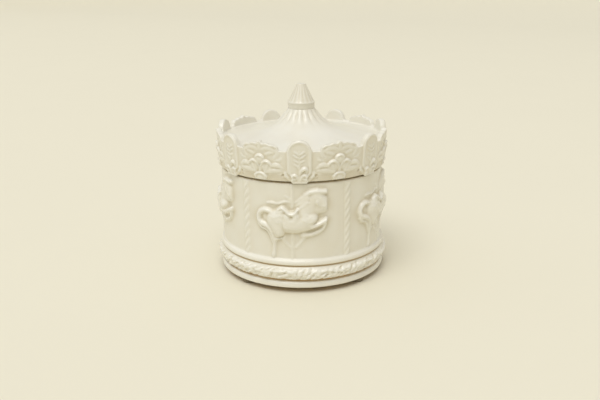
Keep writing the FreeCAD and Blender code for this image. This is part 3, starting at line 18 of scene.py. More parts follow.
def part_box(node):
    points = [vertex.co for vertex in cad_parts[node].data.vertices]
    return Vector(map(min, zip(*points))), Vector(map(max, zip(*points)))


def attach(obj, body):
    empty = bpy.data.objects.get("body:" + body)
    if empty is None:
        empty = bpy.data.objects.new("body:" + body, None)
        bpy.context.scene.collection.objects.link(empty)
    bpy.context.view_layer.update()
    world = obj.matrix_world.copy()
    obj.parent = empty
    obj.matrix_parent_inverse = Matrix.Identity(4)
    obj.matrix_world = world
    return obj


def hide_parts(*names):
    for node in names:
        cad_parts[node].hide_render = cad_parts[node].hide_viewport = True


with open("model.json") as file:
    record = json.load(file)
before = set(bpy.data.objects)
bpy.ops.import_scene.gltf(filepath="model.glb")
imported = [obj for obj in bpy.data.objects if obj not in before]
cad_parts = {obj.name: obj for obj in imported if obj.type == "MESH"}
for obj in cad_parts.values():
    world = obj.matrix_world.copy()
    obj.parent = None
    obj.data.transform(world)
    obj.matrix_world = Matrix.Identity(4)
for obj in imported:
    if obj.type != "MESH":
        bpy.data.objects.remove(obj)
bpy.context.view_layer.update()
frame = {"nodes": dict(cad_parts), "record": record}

LOG = logging.getLogger("music_box")
MM = 0.001
FULL_TURN = 360.0
BOX_MARGIN = 0.1  # kept free inside the CAD box
SAMPLES_PER_RADIUS = 3  # along a stroke
BELL_REACH = 3  # widths of a bell curve that count on each side

# Levels of the hollow attribute, which paint light and shade into the glaze: below 0 a painted
# highlight over raised ground, at 1 painted shade in a hollow, and above 1 the bare clay colour,
# which also stands for painted shade in joints, gaps and grooves.
# Painted shade in the joints between parts, half in bare clay colour.
JOINT_SHADE_AND_CLAY = 1.5
# Bare clay colour, also used as painted shade in grooves and gaps.
CLAY_AND_SHADE = 2.0

Colour = tuple[float, float, float]
Profile = list[tuple[float, float]]
StrokePoint = tuple[float, float, float, float]
Measure = Union[float, np.ndarray]
SocketKey = Union[int, str]


class Slot(Enum):
    """Material slots of the record."""

    CERAMIC = "ceramic"
    RUBBER = "pad_rubber"
    FELT = "felt"
    CORK = "cork"
    STEEL = "steel"
    SPRING_STEEL = "spring_steel"
    BRASS = "brass"
    CAST_PLATE = "cast_plate"
    NYLON = "nylon"


class Body(Enum):
    """Bodies of the frame that new pieces ride on."""

    BASE = "base"
    CAROUSEL = "carousel"
    LID = "lid"


class Cut(Enum):
    """How a stroke of modelling meets the ground under it."""

    RAISE = "raise"
    ADD = "add"
    CARVE = "carve"


def node_span(node: str) -> tuple[float, float]:
    """Lowest and highest height of a CAD node, in millimetres.

    Args:
        node: Name of the node.

    Returns:
        The two heights.
    """
    low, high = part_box(node)
    return low.z / MM, high.z / MM


def node_reach(node: str) -> float:
    """Largest distance of a CAD node from the axis along X, in millimetres.

    Args:
        node: Name of the node.

    Returns:
        The distance.
    """
    low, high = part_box(node)
    return max(high.x, -low.x) / MM


def smooth_path(points: Sequence[StrokePoint]) -> np.ndarray:
    """Samples of a smooth stroke that passes through every point.

    Args:
        points: Points of the stroke.

    Returns:
        Sampled points, close enough together for their radius.
    """
    rows = np.asarray(points, float)
    if len(rows) == 1:
        return rows
    rows = np.vstack([2 * rows[0] - rows[1], rows, 2 * rows[-1] - rows[-2]])
    spans = []
    for before, start, end, after in zip(rows, rows[1:], rows[2:], rows[3:]):
        length = math.hypot(*(end - start)[:2])
        count = math.ceil(SAMPLES_PER_RADIUS * length / min(start[2], end[2]))
        t = np.linspace(0, 1, count, endpoint=False)[:, None]
        linear = (end - before) * t
        square = (2 * before - 5 * start + 4 * end - after) * t**2
        cubic = (3 * start - before - 3 * end + after) * t**3
        spans.append((2 * start + linear + square + cubic) / 2)
    return np.vstack(spans + [rows[-2:-1]])


def rounded(points: Sequence[tuple[float, float, float]], steps: int = 3) -> Profile:
    """Section line whose corners are rounded off.

    Args:
        points: Corners as (radius, height, rounding).
        steps: Spans of each rounding.

    Returns:
        Points of the line as (radius, height).
    """
    line: Profile = []
    for index, (radius, height, rounding) in enumerate(points):
        corner = np.array([radius, height])
        if rounding == 0 or index in (0, len(points) - 1):
            line.append((radius, height))
            continue
        start = corner + rounding * unit(np.array(points[index - 1][:2]) - corner)
        end = corner + rounding * unit(np.array(points[index + 1][:2]) - corner)
        for t in np.linspace(0, 1, steps + 1):
            place = (1 - t) ** 2 * start + 2 * t * (1 - t) * corner + t**2 * end
            line.append((float(place[0]), float(place[1])))
    return line


def unit(vector: np.ndarray) -> np.ndarray:
    """The vector at length one."""
    return vector / np.linalg.norm(vector)


def ease(value: Measure, low: float, high: float) -> Measure:
    """Smooth step from 0 at the low value to 1 at the high one.

    Args:
        value: Where the step is read.
        low: Value at which it starts.
        high: Value at which it ends.

    Returns:
        The step's height at each value.
    """
    t = np.clip((value - low) / (high - low), 0, 1)
    return t * t * (3 - 2 * t)


def blurred(grid: np.ndarray, cells: float) -> np.ndarray:
    """Grid softened over some cells each way.

    Args:
        grid: Rows and columns of heights.
        cells: Width of the bell curve, in cells.

    Returns:
        The softened grid.
    """
    half = max(1, math.ceil(BELL_REACH * cells))
    weights = np.exp(-0.5 * (np.arange(-half, half + 1) / cells) ** 2)
    weights /= weights.sum()
    for axis in (0, 1):
        ends = [(half, half) if axis == a else (0, 0) for a in (0, 1)]
        padded = np.pad(grid, ends, mode="edge")
        size = grid.shape[axis]
        grid = sum(w * padded.take(range(i, i + size), axis) for i, w in enumerate(weights))
    return grid


@dataclass(frozen=True)
class Stroke:
    """Rounded stroke of modelling along a smooth line of (along, up, radius, lift) points."""

    points: tuple[StrokePoint, ...]
    cut: Cut = Cut.RAISE
    paired: bool = False

    def sides(self) -> list["Stroke"]:
        """The stroke and, if it is paired, its mirror image."""
        mirrored = tuple((-along, up, radius, lift) for along, up, radius, lift in self.points)
        return [self, Stroke(mirrored, self.cut)] if self.paired else [self]


class Relief:
    """Raised ground over a grid of places on a wall."""

    def __init__(self, along: np.ndarray, up: np.ndarray) -> None:
        """Start with level ground.

        Args:
            along: Places of the columns along the wall.
            up: Places of the rows up the wall.
        """
        self.along, self.up = np.meshgrid(along, up)
        self.height = np.zeros(self.along.shape)
        # Extra level of painted shade, added to the one worked out from the heights.
        self.pool = np.zeros(self.along.shape)

    def domes(self, stroke: Stroke) -> np.ndarray:
        """Height of a stroke alone.

        Args:
            stroke: The stroke.

        Returns:
            Its height over the grid.
        """
        raised = np.zeros(self.along.shape)
        path = smooth_path(stroke.points)
        reach = path[:, 2].max()
        near_columns = self.near(self.along[0], path[:, 0], reach)
        near_rows = self.near(self.up[:, 0], path[:, 1], reach)
        along = self.along[near_rows, near_columns]
        up = self.up[near_rows, near_columns]
        patch = raised[near_rows, near_columns]
        for place, level, radius, lift in path:
            share = 1 - ((along - place) ** 2 + (up - level) ** 2) / radius**2
            np.maximum(patch, lift * np.sqrt(np.clip(share, 0, None)), out=patch)
        return raised

    @staticmethod
    def near(places: np.ndarray, path: np.ndarray, reach: float) -> slice:
        """Rows or columns that a stroke can touch.

        Args:
            places: Places of the rows or columns, rising.
            path: Places along the stroke.
            reach: Largest radius of the stroke.

        Returns:
            The slice of them.
        """
        first = int(np.searchsorted(places, path.min() - reach))
        last = int(np.searchsorted(places, path.max() + reach))
        return slice(first, last)

    def work(self, strokes: Iterable[Stroke]) -> None:
        """Model some strokes on the ground, in order.

        Args:
            strokes: The strokes.
        """
        for stroke in strokes:
            for side in stroke.sides():
                raised = self.domes(side)
                if side.cut is Cut.RAISE:
                    self.height = np.maximum(self.height, raised)
                elif side.cut is Cut.ADD:
                    self.height = self.height + raised
                else:
                    self.height = self.height - raised

    def soften(self, cells: float) -> None:
        """Soften the ground, as glaze does.

        Args:
            cells: Width of the softening, in cells.
        """
        self.height = blurred(self.height, cells)

    def shade_and_highlight(self, cells: float, depth: float) -> np.ndarray:
        """Painted shade beside raised ground, and a painted highlight on it.

        Args:
            cells: Width of the ground that counts as beside.
            depth: Depth that counts as full.

        Returns:
            Share over the grid, from -1 (painted highlight) on raised ground to 1 (painted shade) in
            hollows.
        """
        return np.clip((blurred(self.height, cells) - self.height) / depth + self.pool, -1, 1)


class RingStack:
    """Shell made of rings of points round the Z axis, each joined to the next."""

    def __init__(self, azimuths: np.ndarray) -> None:
        """Start with no rings.

        Args:
            azimuths: Azimuths of the columns of points.
        """
        self.azimuths = azimuths
        self.points: list[np.ndarray] = []
        self.hollow: list[np.ndarray] = []

    def ring(self, radius: Measure, height: Measure, hollow: Measure = 0.0) -> None:
        """Add a ring.

        Args:
            radius: Radius, for all columns or for each.
            height: Height, for all columns or for each.
            hollow: Level of the hollow attribute, for all columns or for each.
        """
        turn = np.radians(self.azimuths)
        count = len(turn)
        radius = np.broadcast_to(radius, count)
        height = np.broadcast_to(height, count)
        self.points.append(np.stack([radius * np.sin(turn), -radius * np.cos(turn), height], axis=1))
        self.hollow.append(np.broadcast_to(hollow, count))

    def profile(self, line: Profile, hollow: float = 0.0) -> None:
        """Add a plain ring at each point of a section line.

        Args:
            line: Points as (radius, height).
            hollow: Level of the hollow attribute.
        """
        for radius, height in line:
            self.ring(radius, height, hollow)

    def pole(self, height: float) -> None:
        """Add a single point on the axis.

        Args:
            height: Its height.
        """
        self.points.append(np.array([[0.0, 0.0, height]]))
        self.hollow.append(np.zeros(1))

    @staticmethod
    def band(low: np.ndarray, high: np.ndarray) -> list[list[int]]:
        """Faces between two rings, whose counts may differ by a whole factor.

        Args:
            low: Point numbers of the first ring.
            high: Point numbers of the second ring.

        Returns:
            The faces' point numbers.
        """
        count = min(len(low), len(high))
        if count == 1:
            rim = low if len(high) == 1 else high[::-1]
            tip = high[0] if len(high) == 1 else low[0]
            return [[a, b, tip] for a, b in zip(rim.tolist(), np.roll(rim, -1).tolist())]
        steps = [len(ring) // count for ring in (low, high)]
        faces = []
        for index in range(count):
            below = [low[(index * steps[0] + i) % len(low)] for i in range(steps[0] + 1)]
            above = [high[(index * steps[1] + i) % len(high)] for i in range(steps[1] + 1)]
            faces.append([int(point) for point in below + above[::-1]])
        return faces

    def build(self, name: str, closed: bool) -> bpy.types.Object:
        """Make the mesh object.

        Args:
            name: Name of the object.
            closed: Whether the last ring joins the first.

        Returns:
            The object.
        """
        starts = np.cumsum([0] + [len(ring) for ring in self.points])
        numbers = [np.arange(a, b) for a, b in zip(starts, starts[1:])]
        pairs = list(zip(numbers, numbers[1:]))
        if closed:
            pairs.append((numbers[-1], numbers[0]))
        faces = [face for low, high in pairs for face in self.band(low, high)]
        mesh = bpy.data.meshes.new(name)
        mesh.from_pydata((np.vstack(self.points) * MM).tolist(), [], faces)
        mesh.polygons.foreach_set("use_smooth", [True] * len(mesh.polygons))
        # The hollow attribute carries the levels of painted light and shade that the glaze reads.
        hollow = mesh.attributes.new("hollow", "FLOAT", "POINT")
        hollow.data.foreach_set("value", np.concatenate(self.hollow).astype(np.float32))
        mesh.update()
        piece = bpy.data.objects.new(name, mesh)
        bpy.context.scene.collection.objects.link(piece)
        return piece


def place_piece(
    piece: bpy.types.Object, body: Body, node: str, material: bpy.types.Material
) -> None:
    """Dress a new piece and let it stand for a CAD node.

    Args:
        piece: The piece.
        body: Body that it rides on.
        node: CAD node that it replaces.
        material: Its finish.
    """
    piece.data.materials.append(material)
    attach(piece, body.value)
    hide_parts(node)
    LOG.info("%s stands for %s, %d faces", piece.name, node, len(piece.data.polygons))


Operand = Union["Value", float]


class Value:
    """Shader value whose arithmetic adds Math nodes."""

    def __init__(self, shader: "Shader", socket: bpy.types.NodeSocket) -> None:
        """Wrap a socket.

        Args:
            shader: Shader that the socket belongs to.
            socket: The output socket.
        """
        self.shader = shader
        self.socket = socket

    def _math(self, operation: str, first: Operand, second: Operand) -> "Value":
        """Join two values by a Math node.

        Args:
            operation: Operation of the node.
            first: First operand.
            second: Second operand.

        Returns:
            The result.
        """
        return self.shader.node("ShaderNodeMath", {"operation": operation}, {0: first, 1: second})

    def __add__(self, other: Operand) -> "Value":
        """Sum."""
        return self._math("ADD", self, other)

    __radd__ = __add__

    def __sub__(self, other: Operand) -> "Value":
        """Difference."""
        return self._math("SUBTRACT", self, other)

    def __rsub__(self, other: Operand) -> "Value":
        """Difference from a number."""
        return self._math("SUBTRACT", other, self)

    def __mul__(self, other: Operand) -> "Value":
        """Product."""
        return self._math("MULTIPLY", self, other)

    __rmul__ = __mul__


class Shader:
    """Node tree of one material or of the world."""

    def __init__(self, owner: Union[bpy.types.Material, bpy.types.World]) -> None:
        """Start with an empty tree.

        Args:
            owner: Material or world that the tree belongs to.
        """
        owner.use_nodes = True
        self.owner = owner
        self.tree = owner.node_tree
        self.tree.nodes.clear()

    @classmethod
    def of_material(cls, name: str) -> "Shader":
        """Shader of a new material."""
        return cls(bpy.data.materials.new(name))

    def node(
        self, kind: str, settings: dict[str, Any], sockets: dict[SocketKey, Any], out: SocketKey = 0
    ) -> Value:
        """Add a node.

        Args:
            kind: Type of the node.
            settings: Its own settings; stops holds a colour ramp's (position, colour) pairs.
            sockets: Values or links of its inputs, by name or number.
            out: Output that is wanted, by name or number.

        Returns:
            The wanted output.
        """
        made = self.tree.nodes.new(kind)
        for key, setting in settings.items():
            if key == "stops":
                self._set_stops(made, setting)
            else:
                setattr(made, key, setting)
        for key, value in sockets.items():
            if isinstance(value, Value):
                self.tree.links.new(value.socket, made.inputs[key])
            else:
                made.inputs[key].default_value = value
        return Value(self, made.outputs[out]) if len(made.outputs) else Value(self, None)

    @staticmethod
    def _set_stops(ramp: bpy.types.Node, stops: Sequence[tuple[float, float]]) -> None:
        """Set the grey stops of a colour ramp.

        Args:
            ramp: The ramp's node.
            stops: Pairs of position and grey level.
        """
        elements = ramp.color_ramp.elements
        for index, (position, grey) in enumerate(stops):
            element = elements[index] if index < len(elements) else elements.new(position)
            element.position = position
            element.color = (grey, grey, grey, 1)

    def places(self, stretch: Colour = (1, 1, 1)) -> Value:
        """Places on the object in metres, stretched along its axes.

        Args:
            stretch: Factor along each axis.

        Returns:
            The vector.
        """
        spot = self.node("ShaderNodeTexCoord", {}, {}, "Object")
        return self.node("ShaderNodeMapping", {}, {"Vector": spot, "Scale": stretch})

    def noise(self, size: float, detail: float = 2.0, stretch: Colour = (1, 1, 1)) -> Value:
        """Cloudy noise.

        Args:
            size: Size of its spots, in millimetres.
            detail: Steps of finer noise.
            stretch: Factor along each axis.

        Returns:
            Value about 0.5.
        """
        sockets = {"Vector": self.places(stretch), "Scale": 1 / (size * MM), "Detail": detail}
        return self.node("ShaderNodeTexNoise", {}, sockets, "Fac")

    def ramp(self, value: Value, stops: Sequence[tuple[float, float]]) -> Value:
        """Value passed through a ramp.

        Args:
            value: The value.
            stops: Pairs of position and level.

        Returns:
            The new value.
        """
        return self.node("ShaderNodeValToRGB", {"stops": stops}, {"Fac": value}, "Color")

    def mix(self, factor: Operand, first: Any, second: Any) -> Value:
        """Colour between two colours.

        Args:
            factor: Share of the second colour.
            first: First colour.
            second: Second colour.

        Returns:
            The mixed colour.
        """
        ends = [end if isinstance(end, Value) else (*end, 1) for end in (first, second)]
        sockets = {0: factor, 6: ends[0], 7: ends[1]}
        return self.node("ShaderNodeMix", {"data_type": "RGBA", "clamp_factor": True}, sockets, 2)

    def axis(self, vector: Value, name: str) -> Value:
        """One axis of a vector, by its letter."""
        return self.node("ShaderNodeSeparateXYZ", {}, {"Vector": vector}, name)

    def bump(self, height: Value, depth: float) -> Value:
        """Normal over a bumpy surface.

        Args:
            height: Height from 0 to 1.
            depth: Depth of the bumps, in millimetres.

        Returns:
            The normal.
        """
        return self.node("ShaderNodeBump", {}, {"Height": height, "Distance": depth * MM})

    def surface(self, sockets: dict[str, Any]) -> bpy.types.Material:
        """Finish the material with a principled surface.

        Args:
            sockets: Values or links of the surface's inputs.

        Returns:
            The material.
        """
        shaded = self.node("ShaderNodeBsdfPrincipled", {}, sockets)
        self.node("ShaderNodeOutputMaterial", {}, {"Surface": shaded})
        return self.owner


@dataclass(frozen=True)
class Glaze:
    """Ivory glaze over cast earthenware, with painted shade in hollows, a painted highlight over raised
    edges and bare clay colour that also paints shade in gaps.
    """

    name: str = "ivory_glaze"
    colour: Colour = (0.83, 0.795, 0.68)
    thin: Colour = (0.85, 0.825, 0.725)
    # Pale colour of the painted highlight over raised edges.
    bare: Colour = (0.91, 0.895, 0.82)
    # Darker, warmer colour of the painted shade in hollows.
    painted_shade: Colour = (0.64, 0.565, 0.39)
    speck: Colour = (0.60, 0.52, 0.38)
    # Bare clay colour, also used as painted shade in joints, grooves and under the foot.
    clay_and_shade: Colour = (0.72, 0.52, 0.27)
    cloud_size: float = 14.0
    painted_highlight_share: float = 0.5
    speck_size: float = 0.9
    speck_share: float = 0.35
    ripple_size: float = 16.0
    ripple_depth: float = 0.02
    roughness: float = 0.26
    smear_size: float = 20.0
    ior: float = 1.5
    coat: float = 0.25
    coat_roughness: float = 0.12

    def material(self) -> bpy.types.Material:
        """Build the material.

        Returns:
            The material, which reads the hollow attribute for its painted light and shade.
        """
        shader = Shader.of_material(self.name)
        cloud = shader.noise(self.cloud_size, 3.0)
        hollow = shader.node("ShaderNodeAttribute", {"attribute_name": "hollow"}, {}, "Fac")
        ground = shader.mix(shader.ramp(cloud, [(0.35, 0.0), (0.65, 1.0)]), self.colour, self.thin)
        # Painted highlight: paler where the hollow level is below 0.
        with_highlight = shader.mix(hollow * -self.painted_highlight_share, ground, self.bare)
        # Painted shade: darker and warmer where the hollow level is above 0.
        painted_shade = shader.mix(hollow * (0.5 + 0.3 * cloud), with_highlight, self.painted_shade)
        specks = shader.ramp(shader.noise(self.speck_size, 1.0), [(0.74, 0.0), (0.80, 1.0)])
        glazed = shader.mix(specks * self.speck_share, painted_shade, self.speck)
        # Bare clay colour above level 1, which also stands for painted shade in gaps and grooves.
        clay_shade_mask = shader.ramp(hollow - 1, [(0.1, 0.0), (0.9, 1.0)])
        return shader.surface(
            {
                "Base Color": shader.mix(clay_shade_mask, glazed, self.clay_and_shade),
                "Roughness": self.roughness + 0.08 * shader.noise(self.smear_size, 1.0) + 0.06 * hollow,
                "Normal": shader.bump(shader.noise(self.ripple_size, 1.0), self.ripple_depth),
                "IOR": self.ior,
                "Coat Weight": self.coat,
                "Coat Roughness": self.coat_roughness,
            }
        )


@dataclass(frozen=True)
class Metal:
    """Machined or cast metal with a grain and faint tarnish."""

    name: str
    colour: Colour
    tarnish: Colour
    roughness: float
    grain: float = 0.25
    stretch: Colour = (1.0, 1.0, 6.0)
    grain_depth: float = 0.01
    patch_size: float = 4.0
    patch_share: float = 0.7

    def material(self) -> bpy.types.Material:
        """Build the material.

        Returns:
            The material.
        """
        shader = Shader.of_material(self.name)
        grain = shader.noise(self.grain, 3.0, self.stretch)
        patches = shader.ramp(shader.noise(self.patch_size, 4.0), [(0.42, 0.0), (0.72, 1.0)])
        return shader.surface(
            {
                "Base Color": shader.mix(patches * self.patch_share, self.colour, self.tarnish),
                "Metallic": 1.0,
                "Roughness": self.roughness - 0.06 + 0.12 * grain + 0.12 * patches,
                "Normal": shader.bump(grain, self.grain_depth),
            }
        )


@dataclass(frozen=True)
class Grained:
    """Soft or moulded stuff with grains of two colours."""

    name: str
    light: Colour
    dark: Colour
    grain: float
    depth: float
    roughness: float
    sheen: float = 0.0
    grains_per_cloud: float = 12.0

    def material(self) -> bpy.types.Material:
        """Build the material.

        Returns:
            The material.
        """
        shader = Shader.of_material(self.name)
        grain = shader.noise(self.grain, 4.0)
        cloud = shader.noise(self.grains_per_cloud * self.grain, 3.0)
        shade = shader.ramp(0.6 * grain + 0.4 * cloud, [(0.36, 0.0), (0.64, 1.0)])
        return shader.surface(
            {
                "Base Color": shader.mix(shade, self.dark, self.light),
                "Roughness": self.roughness - 0.05 + 0.10 * cloud,
                "Normal": shader.bump(grain, self.depth),
                "Sheen Weight": self.sheen,
                "Sheen Roughness": 0.4,
            }
        )


@dataclass(frozen=True)
class Cork:
    """Pressed cork: packed granules with dark seams."""

    name: str = "pressed_cork"
    light: Colour = (0.52, 0.34, 0.18)
    dark: Colour = (0.17, 0.085, 0.035)
    granule: float = 1.3
    mottle_size: float = 0.6
    seam_depth: float = 0.08

    def material(self) -> bpy.types.Material:
        """Build the material.

        Returns:
            The material.
        """
        shader = Shader.of_material(self.name)
        sockets = {"Vector": shader.places(), "Scale": 1 / (self.granule * MM)}
        edge = shader.node("ShaderNodeTexVoronoi", {"feature": "DISTANCE_TO_EDGE"}, sockets, "Distance")
        seam = shader.ramp(edge, [(0.02, 0.0), (0.16, 1.0)])
        shade = seam * (0.45 + 0.9 * shader.noise(self.mottle_size, 3.0))
        return shader.surface(
            {
                "Base Color": shader.mix(shade, self.dark, self.light),
                "Roughness": 0.75 + 0.15 * (1 - seam),
                "Normal": shader.bump(seam, self.seam_depth),
            }
        )


FINISHES = {
    Slot.CERAMIC: Glaze(),
    Slot.RUBBER: Grained(
        "pad_rubber", light=(0.26, 0.22, 0.15), dark=(0.17, 0.14, 0.09), grain=0.6, depth=0.03,
        roughness=0.55
    ),
    Slot.FELT: Grained(
        "wool_felt", light=(0.36, 0.028, 0.040), dark=(0.14, 0.008, 0.014), grain=0.35, depth=0.12,
        roughness=0.9, sheen=0.35
    ),
    Slot.CORK: Cork(),
    Slot.STEEL: Metal("turned_steel", (0.60, 0.60, 0.61), tarnish=(0.42, 0.41, 0.40), roughness=0.30),
    Slot.SPRING_STEEL: Metal(
        "tempered_steel", (0.34, 0.38, 0.47), tarnish=(0.36, 0.30, 0.26), roughness=0.26
    ),
    Slot.BRASS: Metal("satin_brass", (0.76, 0.55, 0.24), tarnish=(0.50, 0.32, 0.12), roughness=0.32),
    Slot.CAST_PLATE: Metal(
        "zinc_casting", (0.50, 0.50, 0.51), tarnish=(0.34, 0.34, 0.34), roughness=0.48, grain=0.7,
        stretch=(1.0, 1.0, 1.0), grain_depth=0.05
    ),
    Slot.NYLON: Grained(
        "moulded_nylon", light=(0.80, 0.78, 0.72), dark=(0.70, 0.67, 0.60), grain=0.4, depth=0.01,
        roughness=0.42
    ),
}


def repeated(sector: np.ndarray, count: int, start: float) -> np.ndarray:
    """Azimuths of a sector's columns, repeated round the axis.

    Args:
        sector: Azimuths of the columns of one sector.
        count: Number of sectors.
        start: Azimuth of the first sector's zero.

    Returns:
        All azimuths.
    """
    return np.concatenate([sector + start + FULL_TURN * index / count for index in range(count)])


def spaced(stretches: Sequence[tuple[float, float, float]]) -> np.ndarray:
    """Places along a line, spaced differently on each stretch.

    Args:
        stretches: Stretches as (start, end, spacing), each from the last one's end.

    Returns:
        The places, without the last stretch's end.
    """
    runs = []
    for start, end, spacing in stretches:
        runs.append(np.linspace(start, end, max(1, round((end - start) / spacing)), endpoint=False))
    return np.concatenate(runs)


@dataclass(frozen=True)
class Horse:
    """Galloping horse in relief, from its pole and its mid height."""

    front: float = 21.6
    front_bevel: tuple[float, float] = (-0.3, 0.4)
    far_legs: tuple[Stroke, ...] = (
        Stroke(((-5.4, -10.0, 2.0, 1.0), (-4.8, -13.4, 1.3, 0.6), (-2.8, -15.6, 1.0, 0.5),
                (-0.8, -17.6, 1.1, 0.5), (0.2, -18.7, 1.3, 0.5))),
        Stroke(((7.8, -9.0, 2.0, 1.0), (6.9, -12.4, 1.3, 0.7), (4.8, -15.2, 1.1, 0.5),
                (2.7, -17.4, 1.3, 0.5))),
    )
    tail: tuple[Stroke, ...] = (
        Stroke(((-16.6, 2.4, 2.6, 0.9), (-16.2, 0.0, 2.4, 1.2))),
        Stroke(((-21.6, -3.6, 0.9, 1.7), (-19.4, -5.8, 1.0, 1.9), (-16.2, -6.7, 1.0, 1.9),
                (-14.2, -9.0, 1.0, 1.7), (-12.9, -12.6, 0.8, 1.2), (-11.9, -15.6, 0.6, 0.8))),
        Stroke(((-13.6, 5.0, 1.6, 2.4), (-17.0, 5.7, 1.7, 2.4), (-20.0, 4.0, 1.8, 2.3),
                (-21.2, 0.6, 1.9, 2.3), (-19.8, -2.6, 2.2, 2.6), (-16.4, -3.9, 2.3, 2.9),
                (-13.6, -6.0, 1.9, 2.8), (-12.0, -9.4, 1.5, 2.4), (-11.4, -13.2, 1.2, 1.6),
                (-11.0, -16.2, 1.0, 1.0))),
    )
    hind_leg: tuple[Stroke, ...] = (
        Stroke(((-9.4, -10.6, 2.4, 2.0), (-10.4, -13.2, 1.6, 1.6), (-10.9, -16.5, 1.2, 1.1),
                (-11.1, -19.9, 1.1, 1.0), (-11.3, -21.8, 1.3, 1.1), (-11.7, -23.6, 1.5, 1.1))),
        Stroke(((-10.2, -12.5, 0.7, 1.9), (-8.2, -12.3, 0.7, 1.8), (-5.6, -11.6, 0.7, 1.3))),
    )
    trunk: tuple[Stroke, ...] = (
        Stroke(((-9.2, -0.2, 6.8, 3.9), (-4.0, -2.0, 6.0, 3.8), (2.5, -2.2, 6.0, 3.6),
                (8.5, -0.8, 6.2, 3.6), (11.2, 0.8, 5.2, 3.6))),
        Stroke(((-3.6, -3.6, 4.2, 3.8), (2.6, -3.6, 4.0, 3.6))),
        Stroke(((-10.2, 2.6, 3.6, 3.3), (-5.4, 2.8, 3.5, 3.3))),
        Stroke(((-8.4, 5.0, 2.0, 3.0), (-5.6, 5.6, 1.9, 3.2))),
        Stroke(((8.4, 3.4, 6.0, 2.9), (10.0, 8.4, 5.6, 2.5), (12.2, 12.6, 5.0, 2.2),
                (14.6, 14.4, 4.4, 2.1))),
        Stroke(((13.6, 7.0, 4.2, 1.9), (16.4, 8.4, 4.6, 1.8), (18.6, 8.2, 4.0, 1.7))),
    )
    near_legs: tuple[Stroke, ...] = (
        Stroke(((-8.9, -2.0, 6.0, 3.9), (-7.9, -6.0, 4.8, 3.6), (-7.8, -8.2, 3.2, 3.2))),
        Stroke(((9.4, -0.8, 5.2, 3.9), (11.4, 0.6, 4.6, 3.8))),
        Stroke(((16.2, -5.4, 2.6, 0.9), (18.4, -5.0, 2.4, 0.9))),
        Stroke(((20.2, -1.8, 1.5, 2.2), (19.4, -4.8, 1.4, 1.8), (16.6, -7.4, 1.4, 1.5),
                (12.6, -9.0, 1.4, 1.5), (9.6, -9.6, 1.3, 1.5), (6.8, -9.7, 1.6, 1.5))),
        Stroke(((11.6, -3.6, 2.3, 3.5), (15.2, -2.8, 1.8, 3.3), (18.4, -1.2, 1.7, 3.2),
                (20.8, -0.1, 1.7, 3.0))),
    )
    head: tuple[Stroke, ...] = (
        Stroke(((15.6, 14.8, 4.2, 2.2), (17.9, 12.2, 4.2, 2.3), (19.2, 9.6, 3.4, 2.3),
                (19.6, 8.2, 2.8, 2.1))),
        Stroke(((19.8, 7.6, 2.0, 2.0), (20.6, 7.2, 1.6, 1.9))),
        Stroke(((15.4, 11.8, 2.5, 2.7), (16.4, 10.2, 1.8, 2.5))),
        Stroke(((14.6, 18.0, 0.9, 2.4), (15.4, 19.6, 0.7, 1.8))),
        Stroke(((8.6, 16.0, 1.7, 1.9), (11.4, 17.7, 1.8, 2.2), (15.0, 18.2, 1.8, 2.4),
                (18.6, 18.0, 1.7, 2.4), (21.6, 17.8, 1.5, 2.2))),
    )
    mane: tuple[Stroke, ...] = (
        Stroke(((10.2, 16.8, 1.6, 2.1), (7.2, 14.6, 1.5, 1.4), (4.2, 12.4, 1.2, 0.8),
                (2.2, 11.0, 0.8, 0.5))),
        Stroke(((9.8, 14.6, 1.5, 2.5), (6.7, 12.0, 1.4, 1.9), (4.2, 10.0, 1.1, 1.2), (2.8, 8.8, 0.8, 0.7))),
        Stroke(((9.6, 11.6, 1.5, 3.0), (6.9, 9.4, 1.3, 2.7), (5.0, 7.8, 1.0, 2.1))),
        Stroke(((-0.4, 12.6, 0.9, 0.5), (-2.6, 14.2, 0.9, 0.5), (-4.2, 15.0, 0.6, 0.35))),
    )
    ribbon: tuple[Stroke, ...] = (
        Stroke(((-15.2, 10.1, 0.9, 0.8), (-12.4, 10.5, 1.0, 1.0), (-9.6, 10.0, 0.8, 0.8),
                (-7.0, 10.5, 0.9, 0.9), (-4.0, 11.6, 0.9, 0.8), (-0.8, 11.2, 0.8, 0.6))),
    )
    saddle: tuple[Stroke, ...] = (
        Stroke(((-2.9, 2.4, 3.4, 3.6), (-2.0, -0.6, 3.2, 3.7), (1.6, -0.4, 3.3, 3.7),
                (2.6, 2.6, 3.2, 3.6))),
        Stroke(((-8.6, 6.4, 0.9, 3.2), (-6.0, 8.0, 1.1, 3.5), (-4.2, 7.0, 1.2, 3.8), (-2.0, 4.9, 1.3, 3.9),
                (0.4, 4.2, 1.5, 4.0), (2.4, 5.2, 1.2, 3.9), (3.6, 7.2, 1.0, 3.6))),
        Stroke(((-5.6, -2.2, 0.6, 3.5), (-3.0, -3.6, 0.6, 3.6), (0.3, -2.9, 0.6, 3.8),
                (3.2, -3.6, 0.6, 3.6), (5.6, -2.2, 0.6, 3.5))),
    )
